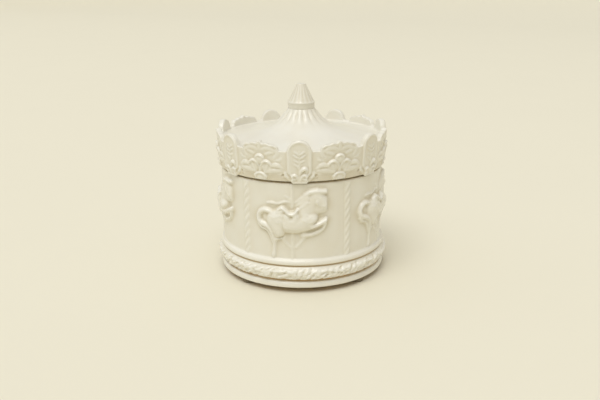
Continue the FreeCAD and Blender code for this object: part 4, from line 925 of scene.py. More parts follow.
    harness: tuple[Stroke, ...] = (
        Stroke(((6.6, 1.0, 0.5, 0.35), (9.8, -0.6, 0.5, 0.35), (13.2, 0.6, 0.5, 0.35),
                (15.6, 3.0, 0.5, 0.3)), Cut.ADD),
        Stroke(((-6.4, 3.6, 0.5, 0.3), (-10.0, 2.2, 0.5, 0.3), (-14.0, 2.6, 0.5, 0.3)), Cut.ADD),
        Stroke(((13.4, 17.0, 0.45, 0.3), (15.0, 13.0, 0.45, 0.3), (16.6, 9.4, 0.45, 0.3)), Cut.ADD),
        Stroke(((16.2, 9.0, 0.5, 0.3), (18.6, 8.9, 0.5, 0.35), (21.2, 9.6, 0.5, 0.3)), Cut.ADD),
        Stroke(((17.6, 14.2, 0.6, 0.45),), Cut.ADD),
        Stroke(((-8.2, 2.6, 3.2, 0.5), (-7.6, 0.6, 2.6, 0.4)), Cut.ADD),
        Stroke(((9.0, 2.2, 2.8, 0.5), (12.0, 1.6, 2.4, 0.5)), Cut.ADD),
        Stroke(((18.2, 7.2, 0.5, 0.35),), Cut.ADD),
    )
    lines: tuple[Stroke, ...] = (
        Stroke(((-21.0, -2.6, 0.4, 0.4), (-18.8, -4.9, 0.5, 0.8), (-15.6, -5.9, 0.5, 0.9),
                (-13.6, -8.4, 0.45, 0.7), (-12.4, -12.4, 0.35, 0.4)), Cut.CARVE),
        Stroke(((-20.0, 3.4, 0.4, 0.3), (-20.6, 0.6, 0.4, 0.4), (-19.0, -2.0, 0.4, 0.3)), Cut.CARVE),
        Stroke(((11.6, 16.0, 0.4, 0.4), (8.4, 13.6, 0.45, 0.5), (5.4, 11.4, 0.35, 0.4)), Cut.CARVE),
        Stroke(((11.0, 13.0, 0.4, 0.4), (8.2, 10.7, 0.45, 0.5), (5.8, 9.0, 0.35, 0.4)), Cut.CARVE),
        Stroke(((-4.4, 5.6, 0.5, 0.6), (-1.6, 3.0, 0.5, 0.6), (0.8, 2.6, 0.4, 0.3)), Cut.CARVE),
        Stroke(((19.7, 7.3, 0.5, 0.6),), Cut.CARVE),
        Stroke(((20.8, 6.2, 0.35, 0.4), (18.6, 6.3, 0.35, 0.4)), Cut.CARVE),
        Stroke(((-10.0, -11.4, 0.6, 0.9), (-7.6, -11.4, 0.6, 1.0), (-5.2, -10.2, 0.5, 0.8),
                (-3.6, -8.2, 0.5, 0.6)), Cut.CARVE),
        Stroke(((16.4, 3.6, 0.7, 0.4), (15.6, 0.6, 0.7, 0.8), (13.4, -1.8, 0.6, 0.5)), Cut.CARVE),
        Stroke(((12.4, -6.4, 0.7, 0.6), (16.0, -5.6, 0.8, 0.9), (18.4, -4.4, 0.6, 0.5)), Cut.CARVE),
        Stroke(((-5.2, -1.8, 0.5, 0.3), (-4.9, -4.2, 0.5, 0.6), (-4.4, -7.2, 0.5, 0.7)), Cut.CARVE),
        Stroke(((-4.2, -5.6, 0.5, 0.4), (0.4, -6.6, 0.5, 0.6), (6.0, -6.7, 0.5, 0.6),
                (11.6, -6.2, 0.5, 0.4)), Cut.CARVE),
    )

    def model(self, relief: Relief) -> None:
        """Model the horse from the far legs forwards, cut off upright at its front.

        Args:
            relief: Ground that it stands on.
        """
        ground = relief.height.copy()
        layers = (
            self.far_legs, self.tail, self.ribbon, self.hind_leg, self.trunk, self.near_legs, self.head,
            self.mane, self.saddle, self.harness, self.lines,
        )
        for layer in layers:
            relief.work(layer)
        bevel_start, bevel_end = (self.front + offset for offset in self.front_bevel)
        kept = 1 - ease(relief.along, bevel_start, bevel_end)
        relief.height = np.maximum(relief.height * kept, ground)


@dataclass
class Drum:
    """Turning ceramic drum with a bead at its foot, horses on poles and twisted columns."""

    wall: float = 5.0
    liner_margin: float = 0.4
    sectors: int = 5
    horse_azimuth: float = -7.0
    horse_lift: float = 25.0
    horse_field: tuple[float, float] = (-23.4, 22.0)
    bead_height: float = 4.4
    bead_bulge: float = 2.1
    bead_top: float = 3.5
    bead_waist: float = 0.22
    bead_angles: tuple[float, float] = (-28.0, 80.0)
    bead_steps: int = 14
    bead_fullness: float = 0.8
    bead_painted_highlight: float = 0.6
    joint_shares: tuple[float, float] = (0.2, 0.8)
    pole_along: float = 0.3
    pole_radius: float = 0.9
    pole_lift: float = 0.42
    pole_overrun: float = 1.0
    column_along: float = -31.1
    column_radius: float = 2.2
    column_margin: float = 1.3
    column_lift: float = 0.8
    twist_pitch: float = 5.4
    twist_lean: float = 0.55
    rope_ground: float = 0.2
    rope_depth: float = 0.8
    softness: float = 0.9
    shading_width: float = 3.5
    shading_depth: float = 0.62
    floor_thickness: float = 5.0
    pocket_radius: float = 5.8
    pocket_depth: float = 2.8
    bore: float = 2.05
    fine: float = 0.42
    plain: float = 0.9
    rim: float = 0.5
    rim_band: float = 2.5
    rim_row: float = 1.6
    thinning: int = 4
    horse: Horse = field(default_factory=Horse)

    def __post_init__(self) -> None:
        """Read the main sizes from the frame."""
        self.low, self.high = node_span("drum")
        self.floor_top = node_span("trinket_liner")[0]
        self.inner = node_reach("trinket_liner") + self.liner_margin
        self.outer = self.inner + self.wall
        self.horse_height = self.low + self.bead_height + self.horse_lift
        self.limit = node_reach("base") - BOX_MARGIN

    def columns(self) -> np.ndarray:
        """Places of one sector's columns along the wall, from its pole.

        Returns:
            The places, in a number that the thinning divides.
        """
        margin = self.column_margin * self.column_radius
        start = self.column_along - margin
        column_end = self.column_along + margin
        left, right = self.horse_field
        end = start + 2 * math.pi * self.outer / self.sectors
        worked = [(start, column_end, self.fine), (column_end, left, self.plain), (left, right, self.fine)]
        places = spaced(worked + [(right, end, self.plain)])
        spare = len(places) % self.thinning
        if spare:
            count = round((end - right) / self.plain)
            spacing = self.plain * count / (count + self.thinning - spare)
            places = spaced(worked + [(right, end, spacing)])
        return places

    def relief(self, along: np.ndarray, heights: np.ndarray) -> Relief:
        """Model one sector of the wall.

        Args:
            along: Places of the columns.
            heights: Heights of the rows.

        Returns:
            The modelled ground.
        """
        up = heights - self.horse_height
        relief = Relief(along, up)
        low, high = up[0] - self.pole_overrun, up[-1] + self.pole_overrun
        shaft = (self.pole_radius, self.pole_lift)
        relief.work([Stroke(((self.pole_along, low, *shaft), (self.pole_along, high, *shaft)))])
        self.horse.model(relief)
        across = (relief.along - self.column_along) / self.column_radius
        swell = np.sqrt(np.clip(1 - across**2, 0, None))
        turn = relief.up / self.twist_pitch - self.twist_lean * across
        rope = self.rope_ground + self.rope_depth * np.abs(np.sin(math.pi * turn))
        relief.height = np.maximum(relief.height, self.column_lift * swell * rope)
        relief.soften(self.softness)
        return relief

    def build(self) -> bpy.types.Object:
        """Build the shell up its outside and down its inside.

        Returns:
            The shell's object.
        """
        along = self.columns()
        azimuths = repeated(np.degrees(along / self.outer), self.sectors, self.horse_azimuth)
        stack = RingStack(azimuths)
        self.add_bead(stack)
        self.add_wall(stack, along)
        stack.azimuths = azimuths[:: self.thinning]
        self.add_inside(stack)
        return stack.build("carousel_drum", closed=True)

    def add_bead(self, stack: RingStack) -> None:
        """Add the bead moulding, from the joint under it, painted dark as shade, up over its upper half,
        which carries a painted highlight.

        Args:
            stack: Rings of the shell.
        """
        below = self.bead_height * self.bead_waist
        # The joint rings are painted as shade, half in clay colour.
        for share in self.joint_shares:
            stack.ring(self.outer + share * self.bead_bulge, self.low, JOINT_SHADE_AND_CLAY)
        for angle in np.radians(np.linspace(*self.bead_angles, self.bead_steps)):
            radius = self.outer + self.bead_bulge * math.cos(angle) ** self.bead_fullness
            half = below if angle < 0 else self.bead_top - below
            # Painted highlight on the bead's upper half, palest where it faces up.
            thin = self.bead_painted_highlight * max(0.0, math.sin(angle))
            stack.ring(radius, self.low + below + half * math.sin(angle), -thin)

    def add_wall(self, stack: RingStack, along: np.ndarray) -> None:
        """Add the modelled wall and the outside of the rim.

        Args:
            stack: Rings of the shell.
            along: Places of one sector's columns.
        """
        wall_top = self.high - self.rim_band
        heights = np.append(spaced([(self.low + self.bead_height, wall_top, self.fine)]), wall_top)
        heights = np.append(heights, [self.high - self.rim_row, self.high - 2 * self.rim])
        relief = self.relief(along, heights)
        # Painted shade in the relief's hollows and painted highlight on its raised parts.
        hollow = relief.shade_and_highlight(self.shading_width, self.shading_depth)
        for height, raised, pool in zip(heights, relief.height, hollow):
            radius = np.minimum(self.outer + np.tile(raised, self.sectors), self.limit)
            stack.ring(radius, height, np.tile(pool, self.sectors))
        stack.ring(self.outer - 0.15 * self.rim, self.high - 0.5 * self.rim)
        stack.ring(self.outer - self.rim, self.high)

    def add_inside(self, stack: RingStack) -> None:
        """Add the trinket space, the nut's pocket and the underside.

        Args:
            stack: Rings of the shell.
        """
        pocket_z = self.floor_top - self.pocket_depth
        under = self.floor_top - self.floor_thickness
        section = [
            (self.outer - 1.5, self.high, 0),
            (self.inner, self.high, self.rim),
            (self.inner, self.floor_top, 1.0),
            (self.pocket_radius, self.floor_top, 0.4),
            (self.pocket_radius, pocket_z, 0.3),
            (self.bore, pocket_z, 0.2),
            (self.bore, under, 0.2),
            (self.inner, under, 1.0),
            (self.inner, self.low, 0.4),
            (self.outer - 1.0, self.low, 0),
        ]
        stack.profile(rounded(section))


@dataclass(frozen=True)
class CrownOrnament:
    """Relief of one bay of the lid's crown, from the lid's seat upwards."""

    panel: tuple[Stroke, ...] = (
        Stroke(((8.0, 10.8, 1.6, 0.7), (11.4, 11.2, 1.8, 0.9), (14.4, 9.6, 0.9, 0.3)), paired=True),
        Stroke(((4.0, 7.4, 1.8, 0.7), (9.0, 8.0, 1.9, 0.8), (14.0, 8.0, 0.9, 0.3)), paired=True),
        Stroke(((4.4, 10.4, 3.7, 0.95),), paired=True),
        Stroke(((0.6, 10.4, 0.7, 1.1), (1.9, 12.4, 0.9, 1.5), (4.2, 13.6, 1.0, 1.65), (6.8, 12.4, 0.9, 1.5),
                (8.2, 10.0, 0.6, 0.9)), paired=True),
        Stroke(((0.0, 14.4, 2.9, 1.4),)),
        Stroke(((-2.7, 13.6, 0.6, 1.0), (-2.4, 15.8, 0.9, 1.5), (0.0, 17.0, 1.0, 1.75),
                (2.4, 15.8, 0.9, 1.5), (2.7, 13.6, 0.6, 1.0))),
        Stroke(((0.0, 9.6, 1.3, 0.7), (0.0, 7.4, 1.0, 0.6))),
        Stroke(((0.0, 3.4, 2.8, 0.8),)),
    )
    folds: tuple[Stroke, ...] = (
        Stroke(((3.2, 8.4, 0.7, 0.25), (4.2, 11.8, 0.6, 0.2)), Cut.CARVE, paired=True),
        Stroke(((5.2, 8.2, 0.7, 0.25), (6.4, 10.8, 0.6, 0.2)), Cut.CARVE, paired=True),
        Stroke(((8.4, 9.6, 0.7, 0.3), (12.6, 9.6, 0.6, 0.2)), Cut.CARVE, paired=True),
    )
    cresting: tuple[Stroke, ...] = (
        Stroke(((0.0, 20.4, 0.9, 0.3), (0.0, 23.0, 1.1, 0.45), (0.0, 25.2, 0.8, 0.4))),
        Stroke(((1.8, 20.4, 1.0, 0.3), (4.0, 21.4, 1.3, 0.4), (7.2, 21.2, 1.4, 0.45),
                (10.0, 19.8, 1.0, 0.3)), paired=True),
        Stroke(((4.2, 17.6, 0.9, 0.3), (6.6, 18.6, 1.2, 0.5), (8.6, 18.9, 0.9, 0.35)), paired=True),
        Stroke(((9.8, 16.0, 1.0, 0.3), (11.5, 18.2, 1.2, 0.4), (11.3, 20.8, 0.9, 0.35)), paired=True),
        Stroke(((2.0, 23.0, 0.7, 0.25), (4.6, 23.8, 0.9, 0.35), (7.6, 23.2, 0.8, 0.3)), paired=True),
        Stroke(((11.0, 14.2, 0.8, 0.3), (13.2, 14.6, 0.9, 0.35), (14.0, 16.0, 0.6, 0.2)), paired=True),
    )
    sprig: tuple[Stroke, ...] = (
        Stroke(((0.0, 1.6, 0.5, 0.5), (0.1, 8.0, 0.5, 0.5), (-0.2, 14.0, 0.5, 0.4), (0.0, 20.4, 0.4, 0.3))),
        Stroke(((0.2, 17.8, 0.5, 0.4), (1.5, 19.0, 0.7, 0.7), (2.8, 20.2, 0.5, 0.4)), paired=True),
        Stroke(((0.2, 15.8, 0.5, 0.4), (1.8, 16.9, 0.75, 0.75), (3.4, 18.0, 0.5, 0.4)), paired=True),
        Stroke(((0.2, 13.2, 0.5, 0.3), (1.6, 14.0, 0.7, 0.5), (3.0, 14.8, 0.5, 0.3)), paired=True),
        Stroke(((0.3, 6.4, 0.5, 0.5), (1.2, 8.4, 1.0, 1.2), (2.9, 9.7, 1.3, 1.6), (4.4, 9.0, 1.0, 1.2),
                (4.2, 7.6, 0.7, 0.7))),
        Stroke(((-0.2, 9.6, 0.5, 0.4), (-1.6, 11.4, 0.7, 0.5), (-3.2, 12.4, 0.5, 0.4))),
        Stroke(((0.8, 2.4, 0.5, 0.6), (1.6, 4.8, 0.8, 1.0), (3.4, 5.6, 1.0, 1.2), (4.8, 4.2, 0.8, 0.9),
                (4.2, 2.6, 0.8, 0.6)), paired=True),
        Stroke(((2.8, 3.2, 1.2, 0.5),), paired=True),
    )
    ears: tuple[Stroke, ...] = (
        Stroke(((4.6, 1.2, 1.0, 0.6), (5.6, 2.2, 1.0, 0.6), (7.2, 3.8, 1.1, 0.6), (8.7, 5.4, 1.0, 0.7),
                (8.6, 7.2, 0.7, 0.5)), paired=True),
        Stroke(((0.0, 0.9, 1.2, 0.8), (3.2, 0.9, 1.2, 0.8), (4.8, 1.3, 0.9, 0.7)), paired=True),
    )
    pits: tuple[Stroke, ...] = (
        Stroke(((10.2, 5.4, 0.8, 1.2), (10.8, 4.6, 0.5, 0.6)), Cut.CARVE, paired=True),
        Stroke(((10.9, 3.4, 0.45, 0.8),), Cut.CARVE),
    )


@dataclass(frozen=True)
class OvalBead:
    """Raised rim of the oval under a panel's flower."""

    level: float = 3.5
    half_width: float = 3.6
    half_height: float = 2.5
    rim_lift: float = 1.3
    rim_width: float = 0.3
    low_share: float = 0.4
    high_share: float = 0.6
    blend: float = 0.8

    def model(self, side: Relief) -> None:
        """Model the rim, lower in its lower half.

        Args:
            side: Ground about the panel's centre.
        """
        across = side.along / self.half_width
        above = (side.up - self.level) / self.half_height
        distance = np.sqrt(across**2 + above**2)
        rim = self.rim_lift * np.sqrt(np.clip(1 - ((distance - 1) / self.rim_width) ** 2, 0, None))
        upper = ease(side.up, self.level - self.blend, self.level + self.blend)
        side.height = np.maximum(side.height, rim * (self.low_share + self.high_share * upper))


@dataclass(frozen=True)
class Swag:
    """Smooth ground, sunk under an arch each side of a panel's oval, with painted shade in the sunk part.
    """

    rise: float = 5.7
    middle: float = 11.5
    half_width: float = 10.0
    depth: float = 0.7
    pool: float = 0.8
    bare_lift: tuple[float, float] = (0.05, 0.4)
    edge: tuple[float, float] = (-0.3, 0.5)

    def model(self, side: Relief) -> None:
        """Sink the ground that no ornament covers, and paint shade into it.

        Args:
            side: Ground about the panel's centre.
        """
        share = (np.abs(side.along) - self.middle) / self.half_width
        arch = self.rise * np.sqrt(np.clip(1 - share**2, 0, None))
        bare = 1 - ease(side.height, *self.bare_lift)
        sunk = bare * ease(arch - side.up, *self.edge)
        side.height = side.height - self.depth * sunk
        # Painted shade in the sunk ground.
        side.pool = side.pool + self.pool * sunk


@dataclass
class Lid:
    """Lift-off ceramic lid: scalloped crown, tent roof, collar, finial and locating spigot."""

    bays: int = 7
    medallion_azimuth: float = -1.6
    spigot_depth: float = 3.0
    spigot_outer: float = 47.8
    spigot_inner: float = 45.6
    reveal: float = 1.5
    reveal_radius: float = 48.5
    foot_hang: float = 1.35
    foot_ends: tuple[float, float] = (4.2, 5.6)
    foot_radius: float = 54.4
    foot_edge: tuple[tuple[float, float], ...] = ((0.35, 0.0), (0.05, 0.15))
    face_low: float = 0.45
    face_high: float = 0.35
    top_radius: float = 56.1
    crown_height: float = 26.9
    valley: float = 20.1
    shoulder: float = 22.5
    swell: float = 2.1
    tip: float = 0.9
    tip_width: float = 0.9
    lobe_lift: float = 0.22
    lobe_pitch: float = 4.6
    panel_half: float = 11.9
    panel_fall: tuple[float, float] = (-0.5, 0.6)
    border_lift: float = 0.4
    border_inset: float = 0.55
    border_half: float = 0.75
    medallion_half: float = 7.6
    medallion_spring: float = 19.2
    medallion_foot: float = 5.2
    medallion_taper: tuple[float, float] = (3.4, 7.6)
    medallion_margin: float = 0.1
    plate_lift: float = 0.7
    plate_edge: tuple[float, float] = (-0.1, 0.9)
    frame_lift: float = 0.25
    frame_rise: tuple[float, float] = (0.1, 0.8)
    frame_fall: tuple[float, float] = (1.0, 1.8)
    field_drop: float = 0.25
    field_edge: tuple[float, float] = (1.2, 2.2)
    sprig_edge: tuple[float, float] = (0.2, 0.8)
    softness: float = 0.7
    shading_width: float = 3.5
    shading_depth: float = 0.4
    crest_thickness: float = 3.2
    outer_edge: tuple[tuple[float, float], ...] = ((-0.15, 0.12), (-0.45, 0.0))
    inner_edge: tuple[tuple[float, float], ...] = ((0.45, 0.0), (0.1, 0.15))
    gutter_width: float = 1.6
    gutter_rows: int = 7
    gutter_start: float = 0.12
    gutter_drop: float = 0.3
    gutter_lift: float = 0.25
    roof_rim: float = 19.2
    roof_rim_radius: float = 50.8
    roof_slope: float = 0.36
    roof_sweep: float = 0.175
    wall: float = 4.0
    bore: float = 50.4
    hollow_rows: int = 12
    hollow_bias: float = 1.6
    collar_radius: float = 8.6
    collar_lift: float = 36.9
    collar_height: float = 4.1
    collar_bulge: float = 0.35
    collar_low: tuple[tuple[float, float], ...] = ((-0.25, 0.1), (-0.2, 0.5), (-0.15, 1.6))
    collar_high: tuple[tuple[float, float], ...] = ((-0.15, -0.9), (0.1, -0.4), (-0.05, 0.0))
    collar_painted_shade: float = 0.05
    finial_height: float = 11.6
    finial_radius: float = 2.95
    finial_taper: float = 0.94
    finial_rows: int = 18
    finial_start: float = 0.02
    finial_edge: tuple[tuple[float, float], ...] = ((0.08, 0.05), (0.25, 0.0))
    finial_painted_shade: float = 0.35
    flutes: int = 17
    flute_azimuth: float = -5.4
    flute_depth: float = 0.5
    flute_reach: float = 0.15
    flute_start: float = 0.1
    flute_growth: float = 14.0
    flute_painted_shade: float = 0.8
    rib_depth: float = 0.10
    rib_fullness: float = 0.7
    rib_painted_shade: float = 0.3
    pleats: int = 21
    pleat_depth: float = 0.04
    pleat_span: tuple[float, float] = (0.15, 0.6)
    columns_per_bay: int = 111
    crown_rows: int = 62
    roof_rows: int = 40
    roof_bias: float = 1.5
    thinning: int = 3
    ornament: CrownOrnament = field(default_factory=CrownOrnament)
    oval: OvalBead = field(default_factory=OvalBead)
    swag: Swag = field(default_factory=Swag)

    def __post_init__(self) -> None:
        """Read the main heights from the frame."""
        low, self.top = node_span("lid")
        self.seat = low + self.spigot_depth
        self.limit = node_reach("base") - BOX_MARGIN

    def crest(self, along: np.ndarray) -> np.ndarray:
        """Height of the crown's edge above the seat.

        Args:
            along: Places along one bay, from its medallion.

        Returns:
            The heights.
        """
        bay = 2 * math.pi * self.top_radius / self.bays
        from_panel = np.abs(np.abs(along) - bay / 2)
        share = from_panel / self.panel_half
        arch = self.swell * (1 - share**2) + self.tip * np.exp(-((from_panel / self.tip_width) ** 2))
        lobes = self.lobe_lift * np.cos(2 * math.pi * from_panel / self.lobe_pitch)
        panel = self.shoulder - self.valley + arch + lobes
        fall_start, fall_end = (self.panel_half + offset for offset in self.panel_fall)
        edge = self.valley + panel * (1 - ease(from_panel, fall_start, fall_end))
        across = along / (self.medallion_half + self.medallion_margin)
        rise = np.sqrt(np.clip(1 - across**2, 0, None))
        arched = self.medallion_spring + (self.crown_height - self.medallion_spring) * rise
        return np.where(np.abs(along) < self.medallion_half, np.maximum(edge, arched), edge)

    def medallion_edge(self, relief: Relief) -> np.ndarray:
        """Distance inside the medallion's outline.

        Args:
            relief: Ground of the bay.

        Returns:
            Distance, negative outside.
        """
        widening = ease(relief.up, *self.medallion_taper)
        half = self.medallion_foot + (self.medallion_half - self.medallion_foot) * widening
        sides = half - np.abs(relief.along)
        across = relief.along / self.medallion_half
        above = np.clip(relief.up - self.medallion_spring, 0, None)
        arch_rise = self.crown_height - self.medallion_spring
        arch = (1 - np.sqrt(across**2 + (above / arch_rise) ** 2)) * self.medallion_half
        return np.where(relief.up > self.medallion_spring, np.minimum(sides, arch), sides)

    def relief(self, along: np.ndarray, heights: np.ndarray) -> Relief:
        """Model one bay of the crown, with a half panel each side of its medallion.

        Args:
            along: Places of the columns.
            heights: Heights of the rows above the seat.

        Returns:
            The modelled ground.
        """
        relief = Relief(along, heights)
        half_bay = math.pi * self.top_radius / self.bays
        for centre in (-half_bay, half_bay):
            side = Relief(along - centre, heights)
            for layer in (self.ornament.panel, self.ornament.folds, self.ornament.cresting):
                side.work(layer)
            self.oval.model(side)
            self.border(side, centre)
            self.swag.model(side)
            relief.height = np.where(relief.along * centre > 0, side.height, relief.height)
            relief.pool = np.where(relief.along * centre > 0, side.pool, relief.pool)
        self.medallion(relief, along, heights)
        relief.work(self.ornament.ears)
        relief.work(self.ornament.pits)
        relief.soften(self.softness)
        return relief

    def medallion(self, relief: Relief, along: np.ndarray, heights: np.ndarray) -> None:
        """Model the medallion: a framed plate with a sprig.

        Args:
            relief: Ground of the bay.
            along: Places of the columns.
            heights: Heights of the rows above the seat.
        """
        inside = self.medallion_edge(relief)
        covered = inside > self.plate_edge[0]
        plate = self.plate_lift * ease(inside, *self.plate_edge)
        frame_rim = self.frame_lift * ease(inside, *self.frame_rise) * (1 - ease(inside, *self.frame_fall))
        dropped = self.field_drop * ease(inside, *self.field_edge)
        sprig = Relief(along, heights)
        sprig.work(self.ornament.sprig)
        medallion = plate + frame_rim - dropped + sprig.height * ease(inside, *self.sprig_edge)
        relief.height = np.where(covered, np.maximum(medallion, 0), relief.height)
        relief.pool = np.where(covered, 0, relief.pool)

    def border(self, side: Relief, centre: float) -> None:
        """Raise a thin border along a panel's crest.

        Args:
            side: Ground about the panel's centre.
            centre: Place of the panel's centre in the bay.
        """
        below = self.crest(side.along + centre) - side.up
        across = (below - self.border_inset) / self.border_half
        ridge = self.border_lift * np.sqrt(np.clip(1 - across**2, 0, None))
        ridge *= np.abs(side.along) < self.panel_half
        side.height = np.maximum(side.height, ridge)

    def roof_height(self, radius: Measure) -> Measure:
        """Height of the tent roof above the seat.

        Args:
            radius: Distances from the axis.

        Returns:
            The heights.
        """
        share = (radius - self.collar_radius) / (self.roof_rim_radius - self.collar_radius)
        slope = self.roof_slope * (1 - share)
        sweep = (1 - self.roof_slope) * np.exp(-share / self.roof_sweep)
        return self.roof_rim + (self.collar_lift - self.roof_rim) * (slope + sweep)

    def build(self) -> bpy.types.Object:
        """Build the shell from the apex of its hollow, down, out and up to the finial.

        Returns:
            The shell's object.
        """
        sector = FULL_TURN / self.bays
        bay_angles = np.linspace(-sector / 2, sector / 2, self.columns_per_bay, endpoint=False)
        azimuths = repeated(bay_angles, self.bays, self.medallion_azimuth)
        stack = RingStack(azimuths[:: self.thinning])
        self.add_inside(stack)
        stack.azimuths = azimuths
        self.add_crown(stack, np.radians(bay_angles) * self.top_radius)
        stack.azimuths = azimuths[:: self.thinning]
        self.add_roof(stack)
        self.add_finial(stack)
        return stack.build("tent_lid", closed=False)

    def add_inside(self, stack: RingStack) -> None:
        """Add the hollow, the spigot and the reveal under the crown, painted dark as shade.

        Args:
            stack: Rings of the shell.
        """
        apex = self.seat + self.collar_lift - self.wall
        crown_low = self.seat + self.reveal
        low = self.seat - self.spigot_depth
        stack.pole(apex)
        stack.ring(self.collar_radius / 2, apex)
        shares = np.linspace(0, 1, self.hollow_rows) ** self.hollow_bias
        radii = self.collar_radius + (self.bore - self.collar_radius) * shares
        for radius, height in zip(radii, self.roof_height(radii)):
            stack.ring(radius, self.seat + height - self.wall)
        lining = self.seat + float(self.roof_height(self.bore)) - self.wall
        hollow = [
            (self.bore, lining - 1.0, 0),
            (self.bore, crown_low + 2 * self.wall, 1.0),
            (self.spigot_inner, crown_low + self.wall, 1.0),
            (self.spigot_inner, low, 0.5),
            (self.spigot_outer, low, 0.5),
            (self.spigot_outer, self.seat - 0.8, 0),
        ]
        reveal = [
            (self.spigot_outer, self.seat - 0.7, 0),
            (self.spigot_outer, self.seat, 0.3),
            (self.reveal_radius, self.seat, 0.1),
            (self.reveal_radius, crown_low, 0.1),
            (self.foot_radius - 0.8, crown_low, 0),
        ]
        stack.profile(rounded(hollow))
        # The reveal is painted as shade, half in clay colour.
        stack.profile(rounded(reveal), JOINT_SHADE_AND_CLAY)

    def add_crown(self, stack: RingStack, along: np.ndarray) -> None:
        """Add the crown's outside, its scalloped edge and its inner face.

        Args:
            stack: Rings of the shell.
            along: Places of one bay's columns.
        """
        crest = self.crest(along)
        foot = self.reveal - self.foot_hang * (1 - ease(np.abs(along), *self.foot_ends))
        all_feet = self.seat + np.tile(foot, self.bays)
        for inset, rise in self.foot_edge:
            stack.ring(self.foot_radius - inset, all_feet + rise)
        outer = self.add_face(stack, along, foot, crest)
        edge = self.seat + np.tile(crest, self.bays)
        inner = self.top_radius - self.crest_thickness
        for offset, drop in self.outer_edge:
            stack.ring(outer + offset, edge - drop)
        for offset, drop in self.inner_edge:
            stack.ring(inner + offset, edge - drop)
        rim = self.seat + self.roof_rim
        gutter = self.roof_rim_radius + self.gutter_width
        for share in np.linspace(self.gutter_start, 1, self.gutter_rows):
            fall = rim + self.gutter_lift - edge + self.gutter_drop
            height = edge - self.gutter_drop + fall * share
            stack.ring(inner + (gutter - inner) * share, height)
        stack.ring(gutter - 0.6, rim + 0.02)

    def add_face(
        self, stack: RingStack, along: np.ndarray, foot: np.ndarray, crest: np.ndarray
    ) -> np.ndarray:
        """Add the crown's modelled face, whose rows spread from its foot to its crest.

        Args:
            stack: Rings of the shell.
            along: Places of one bay's columns.
            foot: Heights of the foot above the seat.
            crest: Heights of the crest above the seat.

        Returns:
            Radius of the last row in every column.
        """
        rows = np.linspace(0.1, crest.max(), 2 * self.crown_rows)
        relief = self.relief(along, rows)
        # Painted shade in the crown's hollows and painted highlight on its raised ornament.
        hollow = relief.shade_and_highlight(self.shading_width, self.shading_depth)
        columns = np.arange(len(along))
        for share in np.linspace(0, 1, self.crown_rows):
            height = foot + self.face_low + (crest - self.face_high - foot - self.face_low) * share
            place = np.clip((height - rows[0]) / (rows[1] - rows[0]), 0, len(rows) - 1.001)
            row = place.astype(int)
            part = place - row
            raised = relief.height[row, columns] * (1 - part) + relief.height[row + 1, columns] * part
            lean = (height - foot) / (self.crown_height - foot)
            radius = self.foot_radius + (self.top_radius - self.foot_radius) * lean + raised
            bay = (np.minimum(radius, self.limit), self.seat + height, hollow[row, columns])
            stack.ring(*(np.tile(values, self.bays) for values in bay))
        return np.tile(bay[0], self.bays)

    def add_roof(self, stack: RingStack) -> None:
        """Add the tent roof, pleated low down and fluted towards the collar, with painted shade in the
        flutes' valleys.

        Args:
            stack: Rings of the shell.
        """
        flute_turn = np.radians(stack.azimuths - self.flute_azimuth)
        flute = 2 * np.abs(np.cos(self.flutes * flute_turn / 2)) - 1
        pleat = np.cos(self.pleats * np.radians(stack.azimuths - self.medallion_azimuth))
        spread = self.roof_rim_radius - self.collar_radius
        for share in np.linspace(1, 0, self.roof_rows) ** self.roof_bias:
            radius = self.collar_radius + spread * share
            growth = min(1.0, self.flute_start + self.flute_growth * share)
            fade = math.exp(-((share / self.flute_reach) ** 2)) * growth
            ripple = self.pleat_depth * pleat * ease(share, *self.pleat_span)
            depth = self.flute_depth * fade * flute
            height = self.seat + float(self.roof_height(radius))
            # Painted shade in the flutes' valleys.
            pool = self.flute_painted_shade * fade * (0.5 - 0.5 * flute) ** 2
            stack.ring(radius + 0.8 * depth, height + 0.6 * depth + ripple, pool)

    def add_finial(self, stack: RingStack) -> None:
        """Add the collar and the ribbed finial, both painted a little darker as shade, darkest between the
        ribs.

        Args:
            stack: Rings of the shell.
        """
        collar = self.seat + self.collar_lift
        collar_top = collar + self.collar_height
        bulge = self.collar_radius + self.collar_bulge
        for level, section in ((collar, self.collar_low), (collar_top, self.collar_high)):
            for offset, rise in section:
                # Painted shade over the collar.
                stack.ring(bulge + offset, level + rise, self.collar_painted_shade)
        taper = self.finial_radius - self.collar_radius
        ribs = np.cos(self.flutes * np.radians(stack.azimuths - self.medallion_azimuth))
        for share in np.linspace(self.finial_start, 1, self.finial_rows):
            radius = self.collar_radius + taper * share**self.finial_taper
            depth = self.rib_depth * ribs * math.sin(math.pi * min(1.0, share + 0.05)) ** self.rib_fullness
            # Painted shade over the finial, deeper between the ribs and lighter on them.
            pool = self.finial_painted_shade - self.rib_painted_shade * ribs
            stack.ring(radius + depth, collar_top + (self.finial_height - 0.2) * share, pool)
        for inset, drop in self.finial_edge:
            stack.ring(self.finial_radius - inset, self.top - drop)
        stack.ring(self.finial_radius / 2, self.top - 0.05)
        stack.pole(self.top - 0.1)


